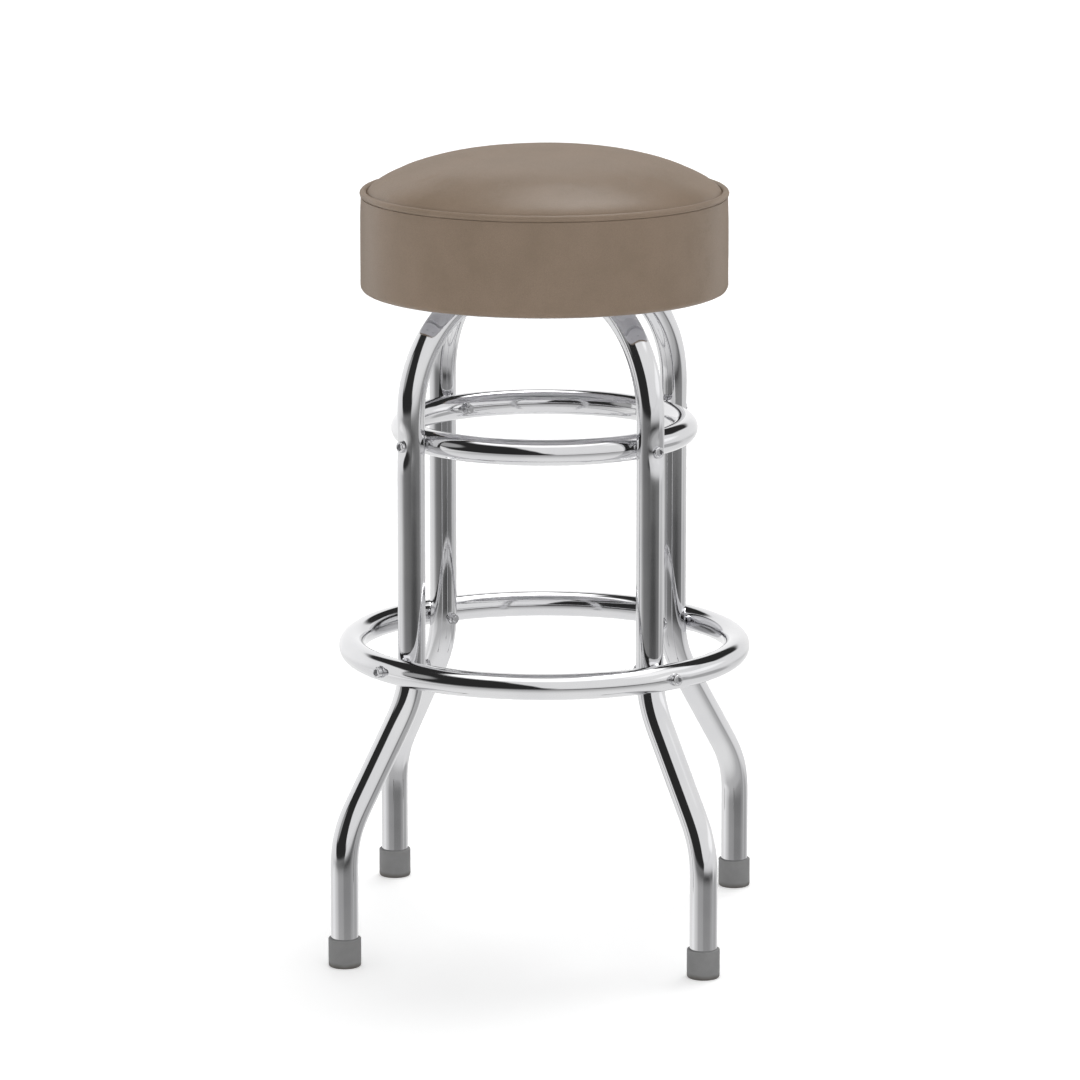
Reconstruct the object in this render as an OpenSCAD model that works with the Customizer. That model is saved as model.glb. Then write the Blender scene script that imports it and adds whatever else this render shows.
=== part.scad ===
// Round swivelling bar stool on four bent tube legs.
// Sizes are in millimetres, +Z is up, and the origin is on the floor under the
// middle of the seat. Each leg frame is one tube bent into an inverted U. The two
// frames cross under the seat, where each is pressed to half its height so that
// they lie level. The seat turns above them on two pressed plates with a ball race.

/* [Stance] */
// Distance from the stool's axis to the middle of a post
post_r = 164.5; // [158:0.5:172]
// Distance from the stool's axis to the middle of a foot
foot_r = 248; // [240:1:260]
// Height where the posts begin, which is also the height of the foot ring
post_foot_z = 287; // [275:1:330]
// Angle between the slanted stretch of a leg and the upright
splay = 32.5; // [29:0.5:38]
// Radius of the two bends between post and foot
leg_bend_r = 90; // [75:1:100]
// Radius of the bend from post to level top
top_bend_r = 115; // [100:1:120]
// Height of the tube's middle where the two frames cross
frame_top_z = 653; // [600:1:760]
// Height of the upper ring
upper_ring_z = 506; // [380:1:515]

/* [Tubes] */
// Outer diameter of the leg tube
leg_tube_d = 26.9; // [24:0.1:29]
// Wall of the leg tube
leg_wall = 1.5; // [1.2:0.1:2]
// Outer diameter of the ring tube
ring_tube_d = 25.4; // [20:0.1:27]
// Wall of the ring tube
ring_wall = 1.5; // [1.2:0.1:2]
// Depth to which the tube tops are pressed flat under the swivel
top_flat = 3.45; // [2.5:0.05:4.5]
// Room at each side of the crossing tube in its pressed seat
crossing_gap = 0.4; // [0.2:0.1:1]
// Run of the slanted end of that pressed seat
crossing_run = 5; // [2:0.5:8]
// Gap between round faces that bear on each other
touch_gap = 0.05; // [0.02:0.01:0.1]

/* [Foot caps] */
// Outer diameter of a rubber cap
cap_d = 32; // [30.5:0.1:36]
// Height of a cap
cap_h = 28.5; // [20:0.5:40]
// Thickness of rubber under the tube's end
cap_floor = 5; // [3:0.5:8]
// Radius round a cap's bottom edge
cap_edge_r = 2; // [0.5:0.1:4]
// Radius round a cap's top edge
cap_lip_r = 1.2; // [0.3:0.1:1.3]

/* [Fasteners] */
// Thread diameter of every bolt
bolt_d = 6; // [5:0.5:8]
// Room round a bolt in its hole, on the radius
bolt_gap = 0.2; // [0.1:0.05:0.5]
// Diameter of a ring bolt's head
head_d = 12; // [11:0.1:13]
// Height of a ring bolt's head
head_h = 4.5; // [3:0.1:6]
// Width across flats of the socket in a head
socket_af = 7; // [4:0.1:7.5]
// Depth of that socket
socket_h = 2.8; // [1:0.1:3]
// Width across flats of a nut
nut_af = 10; // [9:0.1:11.5]
// Height of a nut
nut_h = 5; // [4:0.1:6]
// Length of bolt that stands out of a nut
bolt_end = 1; // [0.5:0.1:2]
// Diameter of the saddle washer under a nut
washer_d = 15; // [13:0.1:17]
// Thickness of a saddle washer at its thinnest
washer_t = 1; // [0.6:0.1:2]

/* [Swivel] */
// Side of the square swivel plates
plate_w = 140; // [135:1:150]
// Radius of a plate's corners
plate_corner_r = 12; // [6:1:18]
// Thickness of a plate
plate_t = 2.5; // [2:0.1:3]
// Height of a plate from flange to raised face
hat_h = 8; // [7:0.1:10]
// Radius of the raised face
hat_r = 49; // [47:0.5:51]
// Run of the raised part's slanted wall
hat_run = 5; // [3:0.5:6]
// Gap between the two raised faces
race_gap = 5.5; // [5:0.1:6]
// Radius of the ball race
race_r = 42; // [40:0.5:43.5]
// Diameter of a ball
ball_d = 8; // [7.5:0.1:8.2]
// Number of balls
ball_count = 20; // [12:1:24]
// Gap round a ball in its race and pocket
ball_gap = 0.3; // [0.2:0.05:0.4]
// Width of the ball cage
cage_w = 12; // [11:0.5:14]
// Thickness of the ball cage
cage_t = 1.2; // [0.8:0.1:1.6]
// Diameter of the king pin
king_d = 10; // [8:0.5:14]
// Running gap round the king pin, on the radius
king_gap = 0.05; // [0.02:0.01:0.09]
// Diameter of the king pin's lower head
king_head_d = 18; // [16:0.5:24]
// Height of that head
king_head_h = 2.5; // [2:0.1:3]
// Thickness of the washer over the upper plate
king_washer_t = 1.5; // [1:0.1:2]
// Distance from the axis to a bolt through the leg tubes
mount_bolt_r = 64; // [63:0.5:68]
// Distance from the axis to a bolt into the seat board
seat_bolt_r = 82; // [79:0.5:84]

/* [Seat] */
// Radius of the band at its fullest
seat_r = 180; // [172:1:200]
// Height of the band, from the rim to the middle of the piping
band_h = 95.5; // [85:0.5:120]
// How far the rim reaches below the seat board
skirt_h = 41.5; // [30:0.5:50]
// Height of the crown above the piping
crown_h = 42.5; // [25:0.5:60]
// Thickness of the seat board
board_t = 15; // [12:0.5:18]
// Width of the spacer ring under the board
spacer_w = 23; // [16:0.5:28]
// Thickness of the foam strip under the band
padding_t = 5.6; // [3:0.1:8]
// Thickness of the vinyl
vinyl_t = 1.2; // [0.8:0.1:1.6]
// Gap left round a soft piece
soft_gap = 0.2; // [0.1:0.05:0.4]
// Radius of the band's bottom edge
rim_edge_r = 5.5; // [3:0.5:8]
// How far the band is drawn in under the piping
band_pull = 1; // [0:0.1:2]
// Width of vinyl turned in under the rim
hem_w = 20; // [12:0.5:26]
// Depth of the sewn edge inside the seam
seam_allowance = 8; // [5:0.5:12]
// Diameter of the piping
piping_d = 7; // [5:0.1:9]
// Diameter of the cord in the piping
piping_cord_d = 4.6; // [2.5:0.1:4.8]
// How far the piping stands out past the band
piping_proud = 0.5; // [0:0.1:1.5]
// Thickness of the dust cover
dust_t = 0.6; // [0.3:0.1:1]
// Width of the dust cover, a ring of cloth under the rim
dust_w = 20.5; // [15:0.5:23]
// Number of staples
staple_count = 24; // [8:1:48]
// Width of a staple
staple_w = 10; // [6:0.5:13]
// Length of a staple's legs
staple_leg = 8; // [4:0.5:12]
// Thickness of a staple's wire
staple_wire = 0.8; // [0.5:0.1:1.2]
// Number of screws that hold the spacer ring
screw_count = 6; // [3:1:12]
// Diameter of those screws
screw_d = 4; // [3:0.5:5]
// Length of those screws
screw_len = 50; // [46:1:54]
// Diameter of a screw's head
screw_head_d = 8; // [7:0.5:10]
// Diameter of a tee nut's flange
tee_flange_d = 19; // [15:0.5:22]
// Thickness of a tee nut's flange
tee_flange_t = 1.5; // [1:0.1:2]
// Outer diameter of a tee nut's barrel
tee_barrel_d = 8.4; // [8:0.1:10]
// Length of a tee nut's barrel
tee_barrel_h = 9; // [6:0.5:10]

/* [Hidden] */

$fn = 96;
small_fn = 48;
fine_fn = 256;             // for the long curves that a thin washer is hollowed to
past = 1;                  // how far a cut runs past a face
slant_lap = 1;             // how far a slanted stretch runs into the bend at each end
slant_ease = 0.1;          // how much thinner it is drawn, so that its ends lie inside the bends

chrome = [0.80, 0.81, 0.83];
zinc = [0.68, 0.69, 0.70];
rubber = [0.45, 0.45, 0.45];
vinyl = [0.54, 0.48, 0.42];
plywood = [0.78, 0.64, 0.45];
foam = [0.93, 0.88, 0.70];
dust_cloth = [0.55, 0.55, 0.56];

// Where each leg stands, as an angle seen from above
front_left = 225;
front_right = 315;
back_left = 135;
back_right = 45;
LEGS = [front_left, front_right, back_left, back_right];

leg_rad = leg_tube_d / 2;
ring_rad = ring_tube_d / 2;
bolt_hole_d = bolt_d + 2 * bolt_gap;

// A leg's path in the upright plane of its frame
top_half = post_r - top_bend_r;
top_bend_z = frame_top_z - top_bend_r;
bends_run = 2 * leg_bend_r * (1 - cos(splay));
slant_len = (foot_r - post_r - bends_run) / sin(splay);
foot_bend_z = post_foot_z - 2 * leg_bend_r * sin(splay) - slant_len * cos(splay);

// The foot ring bears on the outside of the posts, the upper ring on the inside
foot_ring_z = post_foot_z;
foot_ring_r = post_r + leg_rad + touch_gap + ring_rad;
upper_ring_r = post_r - leg_rad - touch_gap - ring_rad;

// Heights of the swivel and seat, each standing on the last
swivel_z = frame_top_z + leg_rad - top_flat;
lower_hat_z = swivel_z + hat_h;
ball_z = lower_hat_z + race_gap / 2;
upper_hat_z = lower_hat_z + race_gap;
board_z = upper_hat_z + hat_h;
board_top_z = board_z + board_t;
rim_z = board_z - skirt_h;
hem_top_z = rim_z + vinyl_t;
seam_z = rim_z + band_h;

// Radii of the seat's layers, each inside the last
board_r = seat_r - vinyl_t - padding_t - 2 * soft_gap;
piping_r = seat_r + piping_proud - piping_d / 2;
crown_r = piping_r - piping_d / 2;
spacer_mid_r = board_r - spacer_w / 2;
seam_edge_z = seam_z - seam_allowance;

// Shape of the crown: how flat its top is and how round its shoulder
crown_top_power = 2.25;
crown_edge_power = 0.68;
crown_steps = 24;

// Shape of the band: the share of its height that stays straight, and how late the rest draws in
band_straight = 0.5;
band_pull_power = 3;
band_steps = 12;

// Shared shapes

// A solid round bar along one leg, from the foot to the end of its top bend
module leg_bar(d, foot_z) {
    translate([foot_r, 0, foot_z]) cylinder(d = d, h = foot_bend_z - foot_z);
    translate([foot_r - leg_bend_r, 0, foot_bend_z]) bend(leg_bend_r, 0, splay, d);
    translate([foot_r - bends_run / 2, 0, foot_bend_z + leg_bend_r * sin(splay)])
        rotate([0, -splay, 0]) translate([0, 0, -slant_lap])
            cylinder(d = d - slant_ease, h = slant_len + 2 * slant_lap);
    translate([post_r + leg_bend_r, 0, post_foot_z]) bend(leg_bend_r, 180, splay, d);
    translate([post_r, 0, post_foot_z]) cylinder(d = d, h = top_bend_z - post_foot_z);
    translate([top_half, 0, top_bend_z]) bend(top_bend_r, 0, 90, d);
}

// A bent stretch of bar in the upright plane, from a start angle on through a turn
module bend(bend_r, start, turn, d) {
    rotate([90, 0, 0]) rotate([0, 0, start])
        rotate_extrude(angle = turn) translate([bend_r, 0]) circle(d = d);
}

// A solid bar along a whole frame: two legs and the level top between them
module frame_bar(d, foot_z = cap_floor) {
    for (side = [0, 180]) rotate(side) leg_bar(d, foot_z);
    translate([-top_half, 0, frame_top_z]) rotate([0, 90, 0]) cylinder(d = d, h = 2 * top_half);
}

// What the press takes off the tube's top to seat the swivel
module top_press(inset) {
    translate([-post_r, -leg_tube_d, swivel_z - inset]) cube([2 * post_r, 2 * leg_tube_d, leg_tube_d]);
}

// What the press takes off one side of the tube at the crossing, down to its middle
module crossing_press(inset) {
    half = leg_rad + crossing_gap + inset;
    mouth = half + crossing_run;
    rotate([90, 0, 0]) linear_extrude(2 * leg_tube_d, center = true)
        polygon([
            [-half, -inset], [half, -inset], [mouth, leg_rad],
            [mouth, leg_tube_d], [-mouth, leg_tube_d], [-mouth, leg_rad]
        ]);
}

// Moves its child to each of four places round the axis
module at_legs() {
    for (leg = LEGS) rotate(leg) children();
}

// A cylinder that lies along the radius, between two distances from the axis
module radial_rod(r_in, r_out, z, d, facets = small_fn) {
    translate([r_in, 0, z]) rotate([0, 90, 0]) cylinder(d = d, h = r_out - r_in, $fn = facets);
}

// A hexagonal prism by its width across flats
module hex_prism(af, h) {
    cylinder(d = af / cos(30), h = h, $fn = 6);
}

module ring_bar(r, z, d) {
    translate([0, 0, z]) rotate_extrude() translate([r, 0]) circle(d = d);
}

// Leg frames

// One tube frame lying along X, pressed at the crossing from above or from below
module leg_frame(pressed_from_above) {
    difference() {
        frame_bar(leg_tube_d);
        top_press(0);
        translate([0, 0, frame_top_z]) mirror([0, 0, pressed_from_above ? 0 : 1]) crossing_press(0);
        difference() {
            frame_bar(leg_tube_d - 2 * leg_wall, cap_floor - past);
            top_press(leg_wall);
            translate([0, 0, frame_top_z]) mirror([0, 0, pressed_from_above ? 0 : 1])
                crossing_press(leg_wall);
        }
        for (side = [0, 180]) rotate(side) {
            for (z = [foot_ring_z, upper_ring_z])
                radial_rod(post_r - leg_tube_d, post_r + leg_tube_d, z, bolt_hole_d);
            translate([mount_bolt_r, 0, frame_top_z - leg_tube_d])
                cylinder(d = bolt_hole_d, h = 2 * leg_tube_d, $fn = small_fn);
        }
    }
}

module lower_leg_frame() {
    color(chrome) rotate(front_right) leg_frame(true);
}

module upper_leg_frame() {
    color(chrome) rotate(back_right) leg_frame(false);
}

// Rings

module tube_ring(r, z) {
    difference() {
        ring_bar(r, z, ring_tube_d);
        ring_bar(r, z, ring_tube_d - 2 * ring_wall);
        at_legs() radial_rod(r - ring_tube_d, r + ring_tube_d, z, bolt_hole_d);
    }
}

module foot_ring() {
    color(chrome) tube_ring(foot_ring_r, foot_ring_z);
}

module upper_ring() {
    color(chrome) tube_ring(upper_ring_r, upper_ring_z);
}

// Foot caps

module foot_cap(leg) {
    rad = cap_d / 2;
    color(rubber) rotate(leg) translate([foot_r, 0, 0]) difference() {
        rotate_extrude() union() {
            square([rad - cap_edge_r, cap_h - cap_lip_r]);
            translate([0, cap_edge_r]) square([rad, cap_h - cap_edge_r - cap_lip_r]);
            square([rad - cap_lip_r, cap_h]);
            translate([rad - cap_edge_r, cap_edge_r]) circle(r = cap_edge_r, $fn = small_fn);
            translate([rad - cap_lip_r, cap_h - cap_lip_r]) circle(r = cap_lip_r, $fn = small_fn);
        }
        translate([0, 0, cap_floor]) cylinder(r = leg_rad + touch_gap, h = cap_h);
    }
}

module foot_cap_front_left() { foot_cap(front_left); }
module foot_cap_front_right() { foot_cap(front_right); }
module foot_cap_back_left() { foot_cap(back_left); }
module foot_cap_back_right() { foot_cap(back_right); }

// Bolted joints of legs and rings, drawn along X
// Each passes through a post and a ring, from an outer face to an inner one

module joint_bolt(inner_r, outer_r, z) {
    head_r = outer_r + washer_t;
    end_r = inner_r - washer_t - nut_h - bolt_end;
    color(zinc) {
        radial_rod(end_r, head_r + head_h / 2, z, bolt_d);
        difference() {
            radial_rod(head_r, head_r + head_h, z, head_d);
            translate([head_r + head_h - socket_h, 0, z]) rotate([0, 90, 0])
                hex_prism(socket_af, socket_h + past);
        }
    }
}

module joint_nut(inner_r, z) {
    color(zinc) difference() {
        translate([inner_r - washer_t - nut_h, 0, z]) rotate([0, 90, 0]) hex_prism(nut_af, nut_h);
        radial_rod(inner_r - washer_t - nut_h - past, inner_r, z, bolt_d);
    }
}

// A pair of washers hollowed to the round tubes that they bear on
module joint_washers(inner_r, outer_r, z) {
    color(zinc) difference() {
        union() {
            radial_rod(inner_r - washer_t, inner_r + leg_rad / 2, z, washer_d);
            radial_rod(outer_r - ring_rad / 2, outer_r + washer_t, z, head_d);
        }
        radial_rod(inner_r - washer_t - past, outer_r + washer_t + past, z, bolt_hole_d);
        children();
    }
}

foot_joint_in = post_r - leg_rad;
foot_joint_out = foot_ring_r + ring_rad;
upper_joint_in = upper_ring_r - ring_rad;
upper_joint_out = post_r + leg_rad;

module foot_ring_bolts() {
    at_legs() joint_bolt(foot_joint_in, foot_joint_out, foot_ring_z);
}

module foot_ring_washers() {
    at_legs() joint_washers(foot_joint_in, foot_joint_out, foot_ring_z) {
        leg_bar(leg_tube_d, cap_floor, $fn = fine_fn);
        ring_bar(foot_ring_r, foot_ring_z, ring_tube_d, $fn = fine_fn);
    }
}

module foot_ring_nuts() {
    at_legs() joint_nut(foot_joint_in, foot_ring_z);
}

module upper_ring_bolts() {
    at_legs() joint_bolt(upper_joint_in, upper_joint_out, upper_ring_z);
}

module upper_ring_washers() {
    at_legs() joint_washers(upper_joint_in, upper_joint_out, upper_ring_z) {
        leg_bar(leg_tube_d, cap_floor, $fn = fine_fn);
        ring_bar(upper_ring_r, upper_ring_z, ring_tube_d, $fn = fine_fn);
    }
}

module upper_ring_nuts() {
    at_legs() joint_nut(upper_joint_in, upper_ring_z);
}

// Swivel

module rounded_square(side, corner_r) {
    square([side, side - 2 * corner_r], center = true);
    square([side - 2 * corner_r, side], center = true);
    for (x = [-1, 1], y = [-1, 1])
        translate([x, y] * (side / 2 - corner_r)) circle(r = corner_r, $fn = small_fn);
}

// Half section of a plate's raised part, with the ball race pressed into its face
module hat_section() {
    race = ball_d / 2 + ball_gap;
    difference() {
        union() {
            polygon([
                [0, hat_h - plate_t], [hat_r - plate_t, hat_h - plate_t],
                [hat_r + hat_run - plate_t, 0], [hat_r + hat_run, 0],
                [hat_r + hat_run, plate_t], [hat_r, hat_h], [0, hat_h]
            ]);
            intersection() {
                translate([race_r, hat_h + race_gap / 2]) circle(r = race + plate_t, $fn = small_fn);
                square([seat_r, hat_h]);
            }
        }
        translate([race_r, hat_h + race_gap / 2]) circle(r = race, $fn = small_fn);
    }
}

// A plate with its flange at the bottom and its raised face on top
module swivel_plate(king_hole_d) {
    difference() {
        union() {
            linear_extrude(plate_t) difference() {
                rounded_square(plate_w, plate_corner_r);
                circle(r = hat_r + hat_run - plate_t / 2);
            }
            rotate_extrude() hat_section();
        }
        translate([0, 0, -past]) cylinder(d = king_hole_d, h = hat_h + 2 * past);
        children();
    }
}

module swivel_lower_plate() {
    color(zinc) translate([0, 0, swivel_z]) swivel_plate(king_d)
        at_legs() translate([mount_bolt_r - bolt_hole_d / 2, -bolt_hole_d / 2, -past])
            cube([bolt_hole_d, bolt_hole_d, plate_t + 2 * past]);
}

module swivel_upper_plate() {
    color(zinc) translate([0, 0, board_z]) mirror([0, 0, 1]) swivel_plate(king_d + 2 * king_gap)
        at_legs() translate([seat_bolt_r, 0, -past])
            cylinder(d = bolt_hole_d, h = plate_t + 2 * past, $fn = small_fn);
}

// Lowest point of the tube where a mount bolt's washer ends
mount_washer_r = mount_bolt_r + washer_d / 2;
tube_under_z = top_bend_z + sqrt(pow(top_bend_r - leg_rad, 2) - pow(max(0, mount_washer_r - top_half), 2));
mount_nut_z = tube_under_z - washer_t;

// Carriage bolts: a low domed head, and a square neck that the plate holds
module swivel_mount_bolts() {
    head_z = swivel_z + plate_t;
    dome_h = 3.2;
    dome_lip = 3.4;
    dome_r = bolt_d / 2 + dome_lip;
    dome_ball_r = (dome_r * dome_r + dome_h * dome_h) / (2 * dome_h);
    color(zinc) at_legs() translate([mount_bolt_r, 0, 0]) {
        translate([0, 0, mount_nut_z - nut_h - bolt_end])
            cylinder(d = bolt_d, h = head_z + dome_h / 2 - mount_nut_z + nut_h + bolt_end, $fn = small_fn);
        translate([-bolt_d / 2, -bolt_d / 2, swivel_z]) cube([bolt_d, bolt_d, plate_t + dome_h / 2]);
        intersection() {
            translate([0, 0, head_z + dome_h - dome_ball_r]) sphere(r = dome_ball_r);
            translate([0, 0, head_z]) cylinder(r = dome_r, h = dome_h, $fn = small_fn);
        }
    }
}

module swivel_mount_washers() {
    color(zinc) at_legs() difference() {
        translate([mount_bolt_r, 0, mount_nut_z])
            cylinder(d = washer_d, h = frame_top_z - leg_rad / 2 - mount_nut_z, $fn = small_fn);
        translate([mount_bolt_r, 0, mount_nut_z - past])
            cylinder(d = bolt_hole_d, h = leg_tube_d, $fn = small_fn);
        frame_bar(leg_tube_d, $fn = fine_fn);
    }
}

module swivel_mount_nuts() {
    color(zinc) at_legs() translate([mount_bolt_r, 0, mount_nut_z - nut_h]) difference() {
        hex_prism(nut_af, nut_h);
        translate([0, 0, -past]) cylinder(d = bolt_d, h = nut_h + 2 * past, $fn = small_fn);
    }
}

king_play = 0.1;           // end play under the king pin's washer
king_washer_z = upper_hat_z + plate_t + king_play;
king_top_z = king_washer_z + king_washer_t;
king_top_h = 1.8;          // the riveted head over that washer
king_top_lip = 2.5;
king_top_taper = 1;

// A shouldered rivet: one head under the lower plate, one over the washer
module swivel_king_pin() {
    hat_under_z = lower_hat_z - plate_t;
    color(zinc) {
        translate([0, 0, hat_under_z - king_head_h]) cylinder(d = king_head_d, h = king_head_h);
        translate([0, 0, hat_under_z - king_head_h / 2])
            cylinder(d = king_d, h = king_top_z + king_top_h / 2 - hat_under_z + king_head_h / 2);
        translate([0, 0, king_top_z]) cylinder(
            r1 = king_d / 2 + king_top_lip,
            r2 = king_d / 2 + king_top_lip - king_top_taper,
            h = king_top_h
        );
    }
}

module king_pin_washer() {
    color(zinc) translate([0, 0, king_washer_z]) difference() {
        cylinder(d = king_head_d, h = king_washer_t);
        translate([0, 0, -past]) cylinder(d = king_d + 2 * king_gap, h = king_washer_t + 2 * past);
    }
}

module ball_cage() {
    color(zinc) translate([0, 0, ball_z]) difference() {
        rotate_extrude() translate([race_r - cage_w / 2, -cage_t / 2]) square([cage_w, cage_t]);
        for (i = [0 : ball_count - 1]) rotate(i * 360 / ball_count) translate([race_r, 0, -cage_t])
            cylinder(d = ball_d + 2 * ball_gap, h = 2 * cage_t, $fn = small_fn);
    }
}

module bearing_balls() {
    color(chrome) for (i = [0 : ball_count - 1]) rotate(i * 360 / ball_count)
        translate([race_r, 0, ball_z]) sphere(d = ball_d, $fn = small_fn);
}

// Seat fixings

seat_washer_t = 1.2;
seat_bolt_head_h = 4;
seat_bolt_head_z = upper_hat_z + hat_h - plate_t - seat_washer_t;

module seat_bolts() {
    color(zinc) at_legs() translate([seat_bolt_r, 0, 0]) {
        translate([0, 0, seat_bolt_head_z - seat_bolt_head_h]) hex_prism(nut_af, seat_bolt_head_h);
        translate([0, 0, seat_bolt_head_z - seat_bolt_head_h / 2])
            cylinder(d = bolt_d, h = board_top_z - seat_bolt_head_z, $fn = small_fn);
    }
}

module seat_bolt_washers() {
    color(zinc) at_legs() translate([seat_bolt_r, 0, seat_bolt_head_z]) difference() {
        cylinder(d = head_d, h = seat_washer_t, $fn = small_fn);
        translate([0, 0, -past]) cylinder(d = bolt_hole_d, h = seat_washer_t + 2 * past, $fn = small_fn);
    }
}

module seat_tee_nuts() {
    color(zinc) at_legs() translate([seat_bolt_r, 0, board_top_z]) difference() {
        union() {
            translate([0, 0, -tee_flange_t])
                cylinder(d = tee_flange_d, h = tee_flange_t, $fn = small_fn);
            translate([0, 0, -tee_barrel_h]) cylinder(d = tee_barrel_d, h = tee_barrel_h, $fn = small_fn);
        }
        translate([0, 0, -tee_barrel_h - past])
            cylinder(d = bolt_d, h = tee_barrel_h + 2 * past, $fn = small_fn);
    }
}

// Moves its child to each screw round the spacer ring
module at_screws() {
    for (i = [0 : screw_count - 1]) rotate((i + 0.5) * 360 / screw_count)
        translate([spacer_mid_r, 0, hem_top_z]) children();
}

module screw_shape() {
    head_h = (screw_head_d - screw_d) / 2;
    cylinder(d1 = screw_head_d, d2 = screw_d, h = head_h, $fn = small_fn);
    cylinder(d = screw_d, h = screw_len, $fn = small_fn);
}

module spacer_ring_screws() {
    color(zinc) at_screws() screw_shape();
}

// Seat woodwork

module seat_board() {
    color(plywood) difference() {
        translate([0, 0, board_z]) cylinder(r = board_r, h = board_t);
        at_legs() translate([seat_bolt_r, 0, board_top_z]) {
            translate([0, 0, -tee_flange_t])
                cylinder(d = tee_flange_d, h = tee_flange_t + past, $fn = small_fn);
            translate([0, 0, -tee_barrel_h])
                cylinder(d = tee_barrel_d, h = tee_barrel_h, $fn = small_fn);
            translate([0, 0, -board_t - past])
                cylinder(d = bolt_hole_d, h = board_t, $fn = small_fn);
        }
        at_screws() screw_shape();
    }
}

module spacer_ring() {
    color(plywood) difference() {
        translate([0, 0, hem_top_z]) rotate_extrude() translate([board_r - spacer_w, 0])
            square([spacer_w, board_z - hem_top_z]);
        at_screws() screw_shape();
    }
}

// Cushion

// Height of the crown at a distance from the axis, for one of its nested surfaces
function crown_z(r, edge_r, rise) =
    seam_z + rise * pow(1 - pow(r / edge_r, crown_top_power), crown_edge_power);

// Points down a crown surface, closer together towards its steep edge
function crown_line(edge_r, rise) = [
    for (i = [0 : crown_steps])
        let (r = edge_r * sin(90 * i / crown_steps)) [r, i == crown_steps ? seam_z : crown_z(r, edge_r, rise)]
];

function reversed(list) = [for (i = [len(list) - 1 : -1 : 0]) list[i]];

module seat_foam() {
    inset = vinyl_t + soft_gap;
    color(foam) rotate_extrude() polygon(concat(
        [[0, board_top_z]],
        crown_line(crown_r - inset, crown_h - inset),
        [[crown_r - inset, board_top_z]]
    ));
}

module crown_cover() {
    color(vinyl) rotate_extrude() polygon(concat(
        crown_line(crown_r, crown_h),
        [[crown_r, seam_edge_z], [crown_r - vinyl_t, seam_edge_z]],
        reversed(crown_line(crown_r - vinyl_t, crown_h - vinyl_t))
    ));
}

// Radius of the band's outer face: straight, then drawn in towards the seam
function band_r(z) =
    let (up = max(0, (z - rim_z) / band_h - band_straight) / (1 - band_straight))
    seat_r - band_pull * pow(up, band_pull_power);

// Half section of all that lies inside the band, less an inset
module rim_section(inset, inner_r, top_z) {
    edge_r = rim_edge_r - inset;
    polygon(concat(
        [[inner_r, top_z], [inner_r, rim_z + inset]],
        [for (a = [-90 : 10 : 0]) [
            seat_r - rim_edge_r + edge_r * cos(a),
            rim_z + rim_edge_r + edge_r * sin(a)
        ]],
        [for (i = [band_steps / 3 : band_steps])
            let (z = rim_z + (top_z - rim_z) * i / band_steps) [band_r(z) - inset, z]]
    ));
}

module piping_section(d) {
    translate([piping_r, seam_z]) circle(d = d, $fn = small_fn);
}

module seat_band() {
    hem_r = seat_r - hem_w;
    color(vinyl) rotate_extrude() difference() {
        rim_section(0, hem_r, seam_z);
        rim_section(vinyl_t, hem_r - past, seam_z + past);
        piping_section(piping_d);
    }
}

module side_padding() {
    color(foam) rotate_extrude() intersection() {
        rim_section(vinyl_t + soft_gap, board_r - spacer_w, seam_z);
        translate([board_r + soft_gap, 0]) square([seat_r, seam_edge_z]);
    }
}

module seat_piping() {
    flange_in = crown_r + soft_gap;
    color(vinyl) rotate_extrude() difference() {
        union() {
            piping_section(piping_d);
            translate([flange_in, seam_edge_z]) square([vinyl_t, seam_allowance]);
        }
        piping_section(piping_cord_d);
    }
}

module piping_cord() {
    color(foam) rotate_extrude() piping_section(piping_cord_d - 2 * touch_gap);
}

module dust_cover() {
    dust_outer_r = seat_r - rim_edge_r - past;
    color(dust_cloth) translate([0, 0, rim_z - dust_t]) rotate_extrude()
        translate([dust_outer_r - dust_w, 0]) square([dust_w, dust_t]);
}

// Staples through the dust cover and hem into the spacer ring
module staples() {
    color(zinc) for (i = [0 : staple_count - 1]) rotate(i * 360 / staple_count)
        translate([spacer_mid_r + screw_head_d / 2, -staple_w / 2, rim_z - dust_t - staple_wire]) {
            cube([staple_wire, staple_w, staple_wire]);
            for (y = [0, staple_w - staple_wire])
                translate([0, y, 0]) cube([staple_wire, staple_wire, staple_wire + staple_leg]);
        }
}

lower_leg_frame();
upper_leg_frame();
foot_ring();
upper_ring();
foot_cap_front_left();
foot_cap_front_right();
foot_cap_back_left();
foot_cap_back_right();
foot_ring_bolts();
foot_ring_washers();
foot_ring_nuts();
upper_ring_bolts();
upper_ring_washers();
upper_ring_nuts();
swivel_lower_plate();
swivel_mount_bolts();
swivel_mount_washers();
swivel_mount_nuts();
swivel_king_pin();
king_pin_washer();
ball_cage();
bearing_balls();
swivel_upper_plate();
seat_bolts();
seat_bolt_washers();
seat_tee_nuts();
seat_board();
spacer_ring();
spacer_ring_screws();
seat_foam();
side_padding();
crown_cover();
seat_band();
seat_piping();
piping_cord();
dust_cover();
staples();
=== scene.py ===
"""A round bar stool: taupe vinyl seat, swivel, and two crossed leg frames of chromed tube.

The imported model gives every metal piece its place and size. This script follows the stool
as it is put together, from the rubber caps up to the seat, and gives each piece its look.
"""

import math

import bmesh
import bpy
from mathutils import Matrix, Vector, noise


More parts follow.
